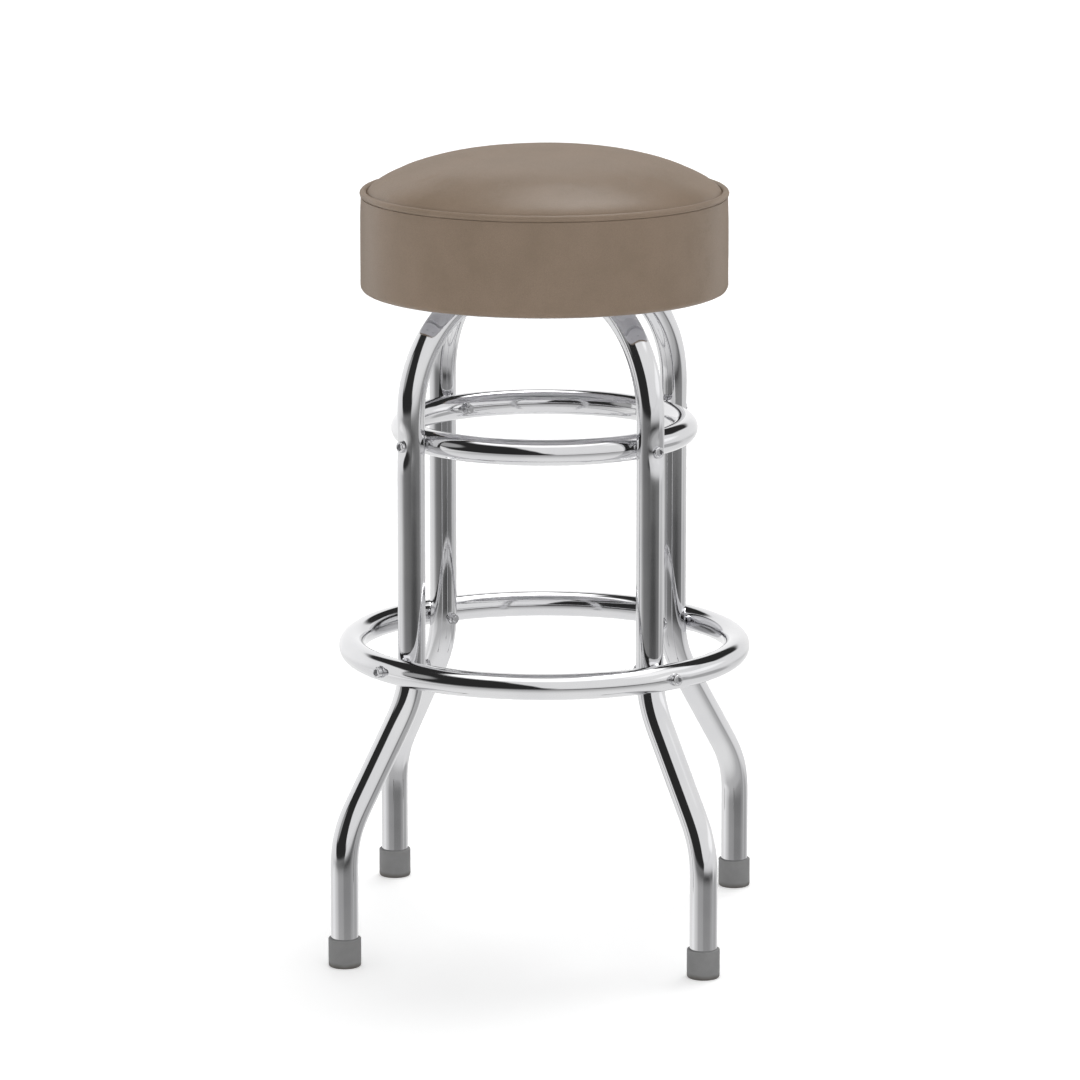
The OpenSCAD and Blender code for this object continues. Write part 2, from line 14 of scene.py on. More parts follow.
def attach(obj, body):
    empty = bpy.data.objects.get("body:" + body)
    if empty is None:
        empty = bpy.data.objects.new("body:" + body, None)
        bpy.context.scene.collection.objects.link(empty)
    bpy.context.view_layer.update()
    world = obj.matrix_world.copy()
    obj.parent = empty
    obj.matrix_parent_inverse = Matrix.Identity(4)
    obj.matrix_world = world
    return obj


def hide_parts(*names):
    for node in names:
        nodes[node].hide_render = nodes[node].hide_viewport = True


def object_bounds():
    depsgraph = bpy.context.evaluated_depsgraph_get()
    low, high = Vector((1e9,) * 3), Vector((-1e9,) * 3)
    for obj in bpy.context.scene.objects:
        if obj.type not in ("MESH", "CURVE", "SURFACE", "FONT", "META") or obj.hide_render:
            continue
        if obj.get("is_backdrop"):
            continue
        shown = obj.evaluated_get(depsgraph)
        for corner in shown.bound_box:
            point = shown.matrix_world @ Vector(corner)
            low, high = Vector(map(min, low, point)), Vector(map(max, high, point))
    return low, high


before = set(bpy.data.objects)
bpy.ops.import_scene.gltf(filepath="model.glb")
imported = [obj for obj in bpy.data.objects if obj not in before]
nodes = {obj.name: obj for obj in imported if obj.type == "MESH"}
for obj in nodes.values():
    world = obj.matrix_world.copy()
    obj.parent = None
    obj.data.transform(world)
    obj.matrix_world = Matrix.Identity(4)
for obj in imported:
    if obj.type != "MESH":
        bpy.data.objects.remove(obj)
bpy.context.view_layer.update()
MM = 0.001

# The photograph's view
# A long lens stands six metres in front, a little to the right and just above the seat,
# so the floor rings show as shallow ovals and the far legs are hardly smaller.

CAMERA_PLACE = Vector((0.6794, -5.8513, 1.5993))
CAMERA_AIM = Vector((-0.0043, 0.0, 0.3919))
PHOTO_LENS = 203.0

camera_data = bpy.data.cameras.new("photo_camera")
camera = bpy.data.objects.new("photo_camera", camera_data)
bpy.context.scene.collection.objects.link(camera)
bpy.context.scene.camera = camera
camera.location = CAMERA_PLACE
camera.rotation_euler = (CAMERA_AIM - CAMERA_PLACE).to_track_quat("-Z", "Y").to_euler()
camera_data.lens = PHOTO_LENS
camera_data.sensor_width = 36.0
camera_data.clip_start = 0.1
camera_data.clip_end = 100.0

view = bpy.context.scene.view_settings
view.view_transform = "Standard"

# The studio
# A white tent with a bright roof. Black flags hang behind the lens at the left, over the
# back and at the back right, and draw the dark streaks down the chrome. The tent's floor
# lies in shade on the lens's side, which the upright tubes mirror as grey bands.


def add(tree, kind, inputs=(), give=0, **settings):
    """Adds a node, and returns the output that give names, or the node itself where that is None.

    inputs holds a value, or the output to link, for each socket, in their order or by name.
    """
    node = tree.nodes.new("ShaderNode" + kind)
    for key, value in settings.items():
        setattr(node, key, value)
    for key, value in inputs.items() if isinstance(inputs, dict) else enumerate(inputs):
        if isinstance(value, bpy.types.NodeSocket):
            tree.links.new(value, node.inputs[key])
        else:
            node.inputs[key].default_value = value
    return node if give is None else node.outputs[give]


def soft_oval(tree, place, centre, half):
    """1 inside an oval on the tent's wall, in degrees round and degrees up, and 0 outside it."""
    reach = 0.0
    for along, middle, size in zip(place, centre, half):
        off = add(tree, "Math", (along, middle), operation="SUBTRACT")
        off = add(tree, "Math", (off, size), operation="DIVIDE")
        off = add(tree, "Math", (off, 2.0), operation="POWER")
        reach = add(tree, "Math", (off, reach), operation="ADD")
    return add(tree, "MapRange", (reach, *OVAL_EDGE, 1.0, 0.0), interpolation_type="SMOOTHSTEP")


WALL_LEVEL = 0.98
ROOF_LEVEL = 1.6
ROOF_EDGE = (53.0, 61.0)
FLAG_LEVEL = 0.03
# Degrees round from straight behind the stool, degrees up to the flag's lower and upper
# edge there, and how far the floor's shade covers it.
TENT_PLAN = [
    (-180, -9.5, 20, 1.0), (-172, -9.5, 33, 1.0), (-160, -9.5, 48, 0.96), (-148, -9.5, 53, 0.94),
    (-135, -9.5, 53, 0.9), (-122, -9, 53, 0.84), (-112, -6, 53, 0.66), (-102, 2, 55, 0.4),
    (-94, 34, 57, 0.22), (-80, 36, 65, 0.1), (-65, 33, 69, 0), (-50, 30, 72, 0), (-30, 30, 74, 0),
    (-20, 34, 74, 0), (-8, 39, 74, 0), (-1, 36, 70, 0), (3, 22, 68, 0), (25, 17, 57, 0.3),
    (35, 24, 54, 0.3), (48, 28, 48, 0.2), (54, 38, 38, 0.15), (70, 24, 24, 0.1), (88, 14, 14, 0.14),
    (99, 6, 6, 0.96), (140, -4, -4, 1.0), (165, -4, -4, 1.0), (174, -9.5, 2, 1.0), (180, -9.5, 20, 1.0),
]
UPPER_SOFTNESS = 4.0
LOWER_SOFTNESS = 3.0
# The shaded floor's level at degrees under the lens's height
FLOOR_SHADE = [
    (-52, 1.0), (-40, 0.92), (-34, 0.83), (-28, 0.7), (-24, 0.6), (-18, 0.56), (-15, 0.47),
    (-13.5, 0.3), (-12.2, 0.16), (-11, 0.18), (-10, 0.26), (-9, 0.5), (-7.5, 0.75), (-5, 0.9), (-1, 1.0),
]
# A soft lamp overhead, which draws the highlight on the front of the seat's crown
LAMP_WAY = (0.09, 0.43, 1.0)
LAMP_SPREAD = (0.94, 0.99)
LAMP_LEVEL = 6.0
# Matt surfaces are lit evenly, with a little more from the lens's side and from the left,
# and less from overhead.
OBJECT_LIGHT = 0.92
FRONT_FILL = 0.2
LEFT_FILL = 0.05
TOP_LOSS = 0.6
# Brighter panels on the wall, cards on the floor, lighter or darker than it, and a thin
# place in the left flag: the middle and the half size in degrees, and the level added.
WHITE_PANELS = [((80, 12), (26, 8), 0.3), ((80, 47), (34, 8), 0.3), ((-35, 10), (44, 20), 0.13)]
FLOOR_CARDS = [
    ((-106, -16), (30, 4.5), 0.22), ((148, -14.5), (34, 3.2), -0.12), ((70, -20), (26, 9), -0.42),
]
THIN_PLACE = ((-108, 18), (13, 13), 0.4)
OVAL_EDGE = (0.4, 1.6)

world = bpy.data.worlds.new("studio_tent")
bpy.context.scene.world = world
world.use_nodes = True
tent = world.node_tree
tent.nodes.clear()
tent_way = add(tent, "TexCoord", give="Generated")
way_x, way_y, way_z = add(tent, "SeparateXYZ", (tent_way,), give=None).outputs
turned = add(tent, "Math", (way_x, way_y), operation="ARCTAN2")
turned = add(tent, "Math", (turned, math.degrees(1)), operation="MULTIPLY")
raised = add(tent, "Math", (way_z,), operation="ARCSINE")
raised = add(tent, "Math", (raised, math.degrees(1)), operation="MULTIPLY")
place = (turned, raised)

# Two ramps hold the tent's plan, by degrees round, and the floor's shade, by degrees up
round_share = add(tent, "Math", (turned, 1 / 360, 0.5), operation="MULTIPLY_ADD")
rise_share = add(tent, "Math", (raised, 1 / 90, 1.0), operation="MULTIPLY_ADD")
plan = add(tent, "ValToRGB", (round_share,), give=None)
lit_floor = add(tent, "ValToRGB", (rise_share,), give=None)
for ramp, stops in (
        (plan.color_ramp.elements, [
            (turn / 360 + 0.5, (lower / 180 + 0.5, upper / 180 + 0.5, shade, 1))
            for turn, lower, upper, shade in TENT_PLAN]),
        (lit_floor.color_ramp.elements, [
            (rise / 90 + 1.0, (lit, lit, lit, 1)) for rise, lit in FLOOR_SHADE])):
    while len(ramp) < len(stops):
        ramp.new(1.0)
    for stop, (position, colour) in zip(ramp, stops):
        stop.position, stop.color = position, colour
lower_edge, upper_edge, floor_share = add(tent, "SeparateColor", (plan.outputs[0],), give=None).outputs

# The flags are what lies over their lower edge and not over their upper one
over_edges = []
for edge, softness in ((lower_edge, LOWER_SOFTNESS), (upper_edge, UPPER_SOFTNESS)):
    edge = add(tent, "Math", (edge, 180.0, -90.0), operation="MULTIPLY_ADD")
    low = add(tent, "Math", (edge, softness), operation="SUBTRACT")
    high = add(tent, "Math", (edge, softness), operation="ADD")
    over_edges.append(add(tent, "MapRange", (raised, low, high), interpolation_type="SMOOTHSTEP"))
flagged = add(tent, "Math", over_edges, operation="SUBTRACT")
thin = soft_oval(tent, place, *THIN_PLACE[:2])
dark = add(tent, "Math", (thin, THIN_PLACE[2], FLAG_LEVEL), operation="MULTIPLY_ADD")

roof = add(tent, "MapRange", (raised, *ROOF_EDGE), interpolation_type="SMOOTHSTEP")
bright = add(tent, "Math", (roof, ROOF_LEVEL - WALL_LEVEL, WALL_LEVEL), operation="MULTIPLY_ADD")
for centre, half, extra in WHITE_PANELS:
    panel = soft_oval(tent, place, centre, half)
    bright = add(tent, "Math", (panel, extra, bright), operation="MULTIPLY_ADD")
shade = add(tent, "Mix", {0: floor_share, 2: 1.0, 3: lit_floor.outputs[0]})
bright = add(tent, "Math", (bright, shade), operation="MULTIPLY")
for centre, half, extra in FLOOR_CARDS:
    card = soft_oval(tent, place, centre, half)
    bright = add(tent, "Math", (card, extra, bright), operation="MULTIPLY_ADD")

mirrored = add(tent, "Mix", {0: flagged, 2: bright, 3: dark})
toward_lamp = add(tent, "VectorMath", (tent_way, Vector(LAMP_WAY).normalized()), give="Value",
                  operation="DOT_PRODUCT")
lamp = add(tent, "MapRange", (toward_lamp, *LAMP_SPREAD), interpolation_type="SMOOTHSTEP")
mirrored = add(tent, "Math", (lamp, LAMP_LEVEL, mirrored), operation="MULTIPLY_ADD")
even = OBJECT_LIGHT
for way, loss in ((way_y, FRONT_FILL), (way_x, LEFT_FILL), (way_z, TOP_LOSS)):
    even = add(tent, "Math", (way, -loss, even), operation="MULTIPLY_ADD")
ray = add(tent, "LightPath", give=None).outputs
level = add(tent, "Mix", {0: ray["Is Diffuse Ray"], 2: mirrored, 3: even})
level = add(tent, "Mix", {0: ray["Is Camera Ray"], 2: level, 3: 1.0})
tent_wall = add(tent, "Background", {"Color": (1, 1, 1, 1), "Strength": level})
add(tent, "OutputWorld", {"Surface": tent_wall}, give=None)

# The floor
# White paper under the stool. It takes the stool's soft shadow, and the chrome mirrors the
# tent's own floor instead, as it does in the photograph.

FLOOR_RADIUS = 12.0
PAPER_WHITE = (0.93, 0.93, 0.93, 1.0)
PAPER_GLOW = 0.32

bpy.ops.mesh.primitive_circle_add(vertices=128, radius=FLOOR_RADIUS, fill_type="NGON")
floor = bpy.context.object
floor.name = "floor"
floor.visible_glossy = False
paper = bpy.data.materials.new("white_paper")
paper.use_nodes = True
sheet = paper.node_tree
sheet.nodes.clear()
matt = add(sheet, "BsdfDiffuse", {"Color": PAPER_WHITE})
glow = add(sheet, "LightPath", give="Is Camera Ray")
glow = add(sheet, "Math", (glow, PAPER_GLOW), operation="MULTIPLY")
glow = add(sheet, "Emission", {"Color": (1.0, 1.0, 1.0, 1.0), "Strength": glow})
add(sheet, "OutputMaterial", {"Surface": add(sheet, "AddShader", (matt, glow))}, give=None)
# The glow is for the camera alone, so the floor isn't sampled as a lamp
paper.cycles.emission_sampling = "NONE"
floor.data.materials.append(paper)
floor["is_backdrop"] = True

# Rubber foot caps
# Cups of grey rubber, moulded and pushed over the tube ends. The skin is matt, with a fine
# grain from the mould and a little dirt where it meets the floor.

CAP_GREY = "#868686"
CAP_CLOUDS = ("#848484", "#898989")
CAP_DIRT = "#66635F"
CAP_CLOUDS_PER_M = 90          # about 11 mm each
RUBBER_GRAIN_PER_M = 1 / 0.0006
DIRT_HEIGHT = 0.004


def linear(code):
    """An sRGB hex colour as the linear colour that a shader takes."""
    parts = [int(code[i:i + 2], 16) / 255 for i in (1, 3, 5)]
    return (*[p / 12.92 if p <= 0.04045 else ((p + 0.055) / 1.055) ** 2.4 for p in parts], 1.0)


def finish_of(name, code, **sockets):
    """A material with one shader, and that shader and its tree."""
    material = bpy.data.materials.new(name)
    material.use_nodes = True
    shader = material.node_tree.nodes["Principled BSDF"]
    shader.inputs["Base Color"].default_value = linear(code)
    for key, value in sockets.items():
        shader.inputs[key.replace("_", " ").title().replace("Ior", "IOR")].default_value = value
    return material, shader, material.node_tree


def wire(tree, shader, **sockets):
    """Links outputs to the shader's sockets."""
    for key, value in sockets.items():
        tree.links.new(value, shader.inputs[key.replace("_", " ").title()])


def dress(material, *names):
    """Gives CAD nodes their material."""
    for name in names:
        mesh = nodes[name].data
        mesh.materials.clear()
        mesh.materials.append(material)


rubber, shader, tree = finish_of("moulded_grey_rubber", CAP_GREY, roughness=0.62, specular_ior_level=0.4)
where = add(tree, "TexCoord", give="Object")
clouds = add(tree, "TexNoise", {"Vector": where, "Scale": CAP_CLOUDS_PER_M, "Detail": 4})
height = add(tree, "SeparateXYZ", (where,), give="Z")
clean = add(tree, "Math", (clouds, -DIRT_HEIGHT, height), operation="MULTIPLY_ADD")
clean = add(tree, "MapRange", (clean, -0.001, DIRT_HEIGHT), interpolation_type="SMOOTHSTEP")
greyed = add(tree, "MapRange", (clouds, 0.3, 0.7), interpolation_type="SMOOTHSTEP")
dark, pale = CAP_CLOUDS
colour = add(tree, "Mix", {0: greyed, 6: linear(dark), 7: linear(pale)}, give=2, data_type="RGBA")
colour = add(tree, "Mix", {0: clean, 6: linear(CAP_DIRT), 7: colour}, give=2, data_type="RGBA")
grain = add(tree, "TexNoise", {"Vector": where, "Scale": RUBBER_GRAIN_PER_M, "Detail": 2})
wire(tree, shader, base_color=colour, roughness=add(tree, "MapRange", (clouds, 0, 1, 0.52, 0.72)),
     normal=add(tree, "Bump", {"Height": grain, "Distance": 0.00008}))
dress(rubber, "foot_cap_front_left", "foot_cap_front_right", "foot_cap_back_left", "foot_cap_back_right")

# Leg frames and rings
# Round steel tube, bent cold, polished and plated with bright chrome. The plate mirrors
# cleanly, with the long soft ripple of a polished tube and a few hairline wipe marks.

CHROME_TINT = "#D9D9DB"
CHROME_HAZE = ("#D6D6D8", "#DCDCDD")
HAZE_PER_M = 14                # clouds of about 70 mm
POLISH_RIPPLE_PER_M = 1 / 0.045
WIPE_MARKS_PER_M = 1 / 0.0015

chrome, shader, tree = finish_of("bright_chrome_plate", CHROME_TINT, metallic=1.0, roughness=0.08)
where = add(tree, "TexCoord", give="Object")
marks = add(tree, "TexNoise", {"Vector": where, "Scale": WIPE_MARKS_PER_M, "Detail": 3})
haze = add(tree, "TexNoise", {"Vector": where, "Scale": HAZE_PER_M, "Detail": 3})
ripple = add(tree, "TexNoise", {"Vector": where, "Scale": POLISH_RIPPLE_PER_M, "Detail": 1})
hazed = add(tree, "MapRange", (haze, 0.35, 0.7), interpolation_type="SMOOTHSTEP")
dark, pale = CHROME_HAZE
dulled = add(tree, "MapRange", (haze, 0, 1, 0.045, 0.085))
wire(tree, shader, roughness=add(tree, "Math", (marks, 0.02, dulled), operation="MULTIPLY_ADD"),
     base_color=add(tree, "Mix", {0: hazed, 6: linear(dark), 7: linear(pale)}, give=2, data_type="RGBA"),
     normal=add(tree, "Bump", {"Height": ripple, "Distance": 0.00012, "Strength": 0.6}))
dress(chrome, "upper_ring")

# In millimetres
TUBE_R = 13.45
TUBE_SIDES = 80
RING_TUBE_R = 12.7
RING_STEPS, RING_SIDES = 480, 64
POST_R = 164.5
FOOT_R = 248.0
POST_FOOT_Z = 287.0
TUBE_END_Z = 5.0
TOP_Z = 653.0
PRESSED_FLAT_Z = 663.0
SPLAY = math.radians(32.5)
LEG_BEND_R = 90.0
TOP_BEND_R = 115.0
BEND_EASE = 26                 # over which a bend comes and goes
UPPER_BOLT_Z = 506.0
FOOT_RING_R = 190.7
LEG_TURNS = (45, 135, 225, 315)
# The dents round the bolt heads: depth, reach along the tube, and reach round it in
# degrees. They are gone at three reaches.
POST_DENT = (3.0, 13.5, 33.0)
RING_DENT = (1.1, 16.0, 36.0)
DENT_REACHES = 3
# The tube's path has a point each 2 mm near the bolt, and each 4 mm elsewhere
NEAR_BOLT = 45
NEAR_STEP, FAR_STEP = 2, 4
POST_HALF = 30
CROSSING_HALF = TUBE_R + 0.4
CROSSING_MOUTH = CROSSING_HALF + 5.0


def deselect():
    """Leaves nothing selected, because an operator acts on all that is."""
    for item in bpy.context.selected_objects:
        item.select_set(False)


def closed_up(piece):
    """Joins meeting points, fills what is open with flat faces and turns all faces outwards."""
    bpy.context.view_layer.objects.active = piece
    bpy.ops.object.mode_set(mode="EDIT")
    bpy.ops.mesh.select_all(action="SELECT")
    bpy.ops.mesh.remove_doubles(threshold=1e-6)
    bpy.ops.mesh.fill_holes(sides=0)
    bpy.ops.mesh.select_all(action="SELECT")
    bpy.ops.mesh.normals_make_consistent(inside=False)
    bpy.ops.object.mode_set(mode="OBJECT")
    work = bmesh.new()
    work.from_mesh(piece.data)
    inside_out = work.calc_volume(signed=True) < 0
    work.free()
    if inside_out:
        piece.data.flip_normals()


def finished(piece, material, angle=40):
    """Shades the piece smooth across gentle angles and gives it its material."""
    deselect()
    piece.select_set(True)
    bpy.context.view_layer.objects.active = piece
    bpy.ops.object.shade_smooth_by_angle(angle=math.radians(angle))
    piece.data.materials.clear()
    piece.data.materials.append(material)


def leg_path():
    """Points each millimetre from a foot to the middle of the level top, as (out, up) in mm."""
    bends_run = 2 * LEG_BEND_R * (1 - math.cos(SPLAY))
    slant = (FOOT_R - POST_R - bends_run) / math.sin(SPLAY)
    foot_bend_z = POST_FOOT_Z - 2 * LEG_BEND_R * math.sin(SPLAY) - slant * math.cos(SPLAY)
    # The length and the turn of each stretch
    stretches = [
        (foot_bend_z - TUBE_END_Z, 0),
        (LEG_BEND_R * SPLAY, SPLAY),
        (slant, 0),
        (LEG_BEND_R * SPLAY, -SPLAY),
        (TOP_Z - TOP_BEND_R - POST_FOOT_Z, 0),
        (TOP_BEND_R * math.pi / 2, math.pi / 2),
        (POST_R - TOP_BEND_R, 0),
    ]
    out, up, lean = FOOT_R, TUBE_END_Z, 0.0
    points = [(out, up)]
    for length, turn in stretches:
        count = round(length)
        chord = length / count
        for _ in range(count):
            lean += turn / count / 2
            out, up = out - chord * math.sin(lean), up + chord * math.cos(lean)
            lean += turn / count / 2
            points.append((out, up))
    return points


def eased_frame():
    """The whole frame's path with its bends eased in, closer together round the bolt's dent."""
    side = leg_path()
    path = side + [(-out, up) for out, up in reversed(side[:-1])]
    eased_path = []
    for i, point in enumerate(path):
        reach = min(BEND_EASE // 2, i, len(path) - 1 - i)
        spread = path[i - reach:i + reach + 1]
        middle = [sum(values) / len(spread) for values in zip(*spread)]
        step = NEAR_STEP if abs(point[1] - UPPER_BOLT_Z) < NEAR_BOLT else FAR_STEP
        if i % step == 0 or i == len(path) - 1:
            eased_path.append(middle)
    return eased_path


def pushed_in(piece, dent, way, middle_of, off_bolt):
    """Dents a tube where a bolt's head pulls on it, on the side that way gives.

    middle_of gives the tube's middle at a point, and off_bolt how far along the tube from the
    bolt the point lies, or None where it lies on another stretch.
    """
    depth, reach, round_reach = dent
    for point in piece.data.vertices:
        off = off_bolt(point.co)
        if off is None:
            continue
        middle = middle_of(point.co)
        away = point.co - middle
        off = off / MM / reach
        turn = math.degrees(away.angle(way)) / round_reach
        if abs(off) < DENT_REACHES and turn < DENT_REACHES:
            pressed = depth * MM * math.exp(-off * off - turn * turn)
            point.co = middle + away.normalized() * (away.length - pressed)


def cut_across(piece, height):
    """Presses the piece flat at a height. The flat keeps a crisp edge."""
    bpy.context.view_layer.objects.active = piece
    bpy.ops.object.mode_set(mode="EDIT")
    bpy.ops.mesh.select_all(action="SELECT")
    bpy.ops.mesh.bisect(plane_co=(0, 0, height), plane_no=(0, 0, 1), use_fill=True, clear_outer=True)
    bpy.ops.mesh.mark_sharp()
    bpy.ops.object.mode_set(mode="OBJECT")


def notched(piece, from_above):
    """Takes the crossing's half-lap out of one side of the tube, with a slanted run at each end."""
    deselect()
    way = 1 if from_above else -1
    bpy.ops.mesh.primitive_cube_add(size=1, location=(0, 0, (TOP_Z + way * TUBE_R) * MM),
                                    scale=(2 * CROSSING_MOUTH * MM, 4 * TUBE_R * MM, 2 * TUBE_R * MM))
    press = bpy.context.object
    bpy.ops.object.transform_apply(location=True, scale=True)
    for point in press.data.vertices:
        if (point.co.z / MM - TOP_Z) * way < TUBE_R / 2:
            point.co.x *= CROSSING_HALF / CROSSING_MOUTH
    bpy.ops.object.mode_set(mode="EDIT")
    bpy.ops.mesh.select_all(action="SELECT")
    bpy.ops.mesh.normals_make_consistent(inside=False)
    bpy.ops.object.mode_set(mode="OBJECT")
    cut = piece.modifiers.new("half_lap", "BOOLEAN")
    cut.operation, cut.object, cut.solver = "DIFFERENCE", press, "EXACT"
    deselect()
    bpy.context.view_layer.objects.active = piece
    bpy.ops.object.modifier_apply(modifier="half_lap")
    bpy.data.objects.remove(press)


for frame_name, turn, from_above in (("lower_leg_frame", 315, True), ("upper_leg_frame", 45, False)):
    deselect()
    bpy.ops.curve.primitive_nurbs_path_add()
    leg = bpy.context.object
    leg.name = leg.data.name = frame_name.replace("_frame", "_tube")
    leg.data.splines.clear()
    line = leg.data.splines.new("POLY")
    path = eased_frame()
    line.points.add(len(path) - 1)
    for spot, (out, up) in zip(line.points, path):
        spot.co = (out * MM, 0, up * MM, 1)
    leg.data.dimensions = "3D"
    leg.data.bevel_depth = TUBE_R * MM
    leg.data.bevel_resolution = TUBE_SIDES // 4 - 1
    leg.data.use_fill_caps = True
    bpy.ops.object.convert(target="MESH")
    leg = bpy.context.object
    for side in (1, -1):
        post = side * POST_R * MM
        pushed_in(
            leg, POST_DENT, Vector((side, 0, 0)),
            middle_of=lambda co, post=post: Vector((post, 0, co.z)),
            off_bolt=lambda co, post=post: (
                co.z - UPPER_BOLT_Z * MM if abs(co.x - post) < POST_HALF * MM else None))
    closed_up(leg)
    notched(leg, from_above)
    cut_across(leg, PRESSED_FLAT_Z * MM)
    leg.data.transform(Matrix.Rotation(math.radians(turn), 4, "Z"))
    finished(leg, chrome, 32)
    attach(leg, "base")
    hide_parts(frame_name)

deselect()
bpy.ops.mesh.primitive_torus_add(
    major_radius=FOOT_RING_R * MM, minor_radius=RING_TUBE_R * MM,
    major_segments=RING_STEPS, minor_segments=RING_SIDES, location=(0, 0, POST_FOOT_Z * MM))
foot_rest = bpy.context.object
foot_rest.name = foot_rest.data.name = "foot_rest_tube"
bpy.ops.object.transform_apply(location=True)


def ring_middle(co):
    """The middle of the foot ring's tube at a point's turn."""
    flat = co.xy.normalized() * FOOT_RING_R * MM
    return Vector((flat.x, flat.y, POST_FOOT_Z * MM))


for turn in LEG_TURNS:
    spoke, across = [
        Matrix.Rotation(math.radians(degrees), 3, "Z") @ Vector((1, 0, 0)) for degrees in (turn, turn + 90)]
    pushed_in(
        foot_rest, RING_DENT, spoke, ring_middle,
        lambda co, spoke=spoke, across=across: co.dot(across) if co.dot(spoke) > 0 else None)
finished(foot_rest, chrome, 60)
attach(foot_rest, "base")
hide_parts("foot_ring")

# Ring bolts, washers and nuts
# Turned steel, plated bright with nickel: flat heads with a hexagon socket, on thick flat
# washers, and chamfered hexagon nuts on the thread inside. The plate is greyer than the
# chrome and mirrors less sharply.

# In millimetres
HEAD_R = 5.5
HEAD_EDGE_R = 0.9
SOCKET_AF = 6.6
SOCKET_H = 2.2
SOCKET_RINGS = (4.1, 3.8)      # the mouth, and the circle that the hexagon is drawn from
SOCKET_CHAMFER = 0.35
SHANK_R = 3.0
SHANK_TIP_R = SHANK_R - 0.6
THREAD_ROOT_R = SHANK_R - 0.45
THREAD_PITCH = 1.0
THREAD_TURNS = 9
THREAD_START = 0.6
THREAD_END = 10.2
NUT_AF = 8.8
NUT_H = 5.0
NUT_R = 5.0
NUT_FACE_R = 4.75
NUT_MOUTH_R = 3.4
NUT_CHAMFER = 0.45
NUT_MOUTH_H = 0.4
NUT_OFF_TIP = 1.0              # the bolt's tip stands this far out of the nut
WASHER_R = 6.1
WASHER_BORE_R = SHANK_R + 0.2
EDGE_BREAK = 0.25
BOLT_SIDES = 48
# The bolt's height, the radii where its tip and its head's foot lie, and the head's height
BOLT_PLACES = {
    "foot_ring": (POST_FOOT_Z, 144.05, 203.9, 4.6),
    "upper_ring": (UPPER_BOLT_Z, 118.6, 175.5, 3.3),
}
NICKEL_CLOUDS = ("#C6C6C8", "#DADADC")
NICKEL_CLOUDS_PER_M = 160      # about 6 mm each
TURNING_MARKS_PER_M = 1 / 0.0007


def drawn_up(name, rings, sides):
    """A wall drawn up from a circle, ring by ring. rings gives each ring's radius and height."""
    deselect()
    bpy.ops.mesh.primitive_circle_add(vertices=sides, radius=rings[0][0], location=(0, 0, rings[0][1]))
    piece = bpy.context.object
    piece.name = piece.data.name = name
    bpy.ops.object.transform_apply(location=True)
    bpy.ops.object.mode_set(mode="EDIT")
    bpy.ops.mesh.select_all(action="SELECT")
    for (radius, height), (next_radius, next_height) in zip(rings, rings[1:]):
        bpy.ops.mesh.extrude_edges_move(TRANSFORM_OT_translate={"value": (0, 0, next_height - height)})
        share = next_radius / radius
        bpy.ops.transform.resize(value=(share, share, 1), center_override=(0, 0, next_height))
    bpy.ops.object.mode_set(mode="OBJECT")
    return piece


def made_hexagonal(piece, sides, across_flats, *rings):
    """Moves the points of those rings out to a hexagon."""
    for ring in rings:
        for vertex in piece.data.vertices[ring * sides:(ring + 1) * sides]:
            turn = math.degrees(math.atan2(vertex.co.y, vertex.co.x)) % 60 - 30
            reach = across_flats / 2 / math.cos(math.radians(turn))
            vertex.co.xy = vertex.co.xy.normalized() * reach


def set_round(piece, turns, reach, height):
    """Lays a piece outwards and copies it to each turn, as one object with its place in its mesh."""
    deselect()
    piece.data.transform(Matrix.Rotation(math.radians(90), 4, "Y"))
    piece.data.transform(Matrix.Translation((reach, 0, height)))
    copies = [piece]
    for turn in turns[1:]:
        copy = piece.copy()
        copy.data = piece.data.copy()
        bpy.context.scene.collection.objects.link(copy)
        copy.data.transform(Matrix.Rotation(math.radians(turn), 4, "Z"))
        copies.append(copy)
    piece.data.transform(Matrix.Rotation(math.radians(turns[0]), 4, "Z"))
    for copy in copies:
        copy.select_set(True)
    bpy.context.view_layer.objects.active = piece
    bpy.ops.object.join()
    return piece


def in_metres(rings):
    """Rings given in millimetres."""
    return [(radius * MM, height * MM) for radius, height in rings]


plated, shader, tree = finish_of("bright_nickel_plated_steel", "#D2D2D4", metallic=1.0, roughness=0.14)
where = add(tree, "TexCoord", give="Object")
marks = add(tree, "TexNoise", {"Vector": where, "Scale": TURNING_MARKS_PER_M, "Detail": 3})
clouds = add(tree, "TexNoise", {"Vector": where, "Scale": NICKEL_CLOUDS_PER_M, "Detail": 3})
dark, pale = NICKEL_CLOUDS
wire(tree, shader, roughness=add(tree, "MapRange", (marks, 0, 1, 0.1, 0.2)),
     base_color=add(tree, "Mix", {0: clouds, 6: linear(dark), 7: linear(pale)}, give=2, data_type="RGBA"),
     normal=add(tree, "Bump", {"Height": marks, "Distance": 0.00003, "Strength": 0.5}))

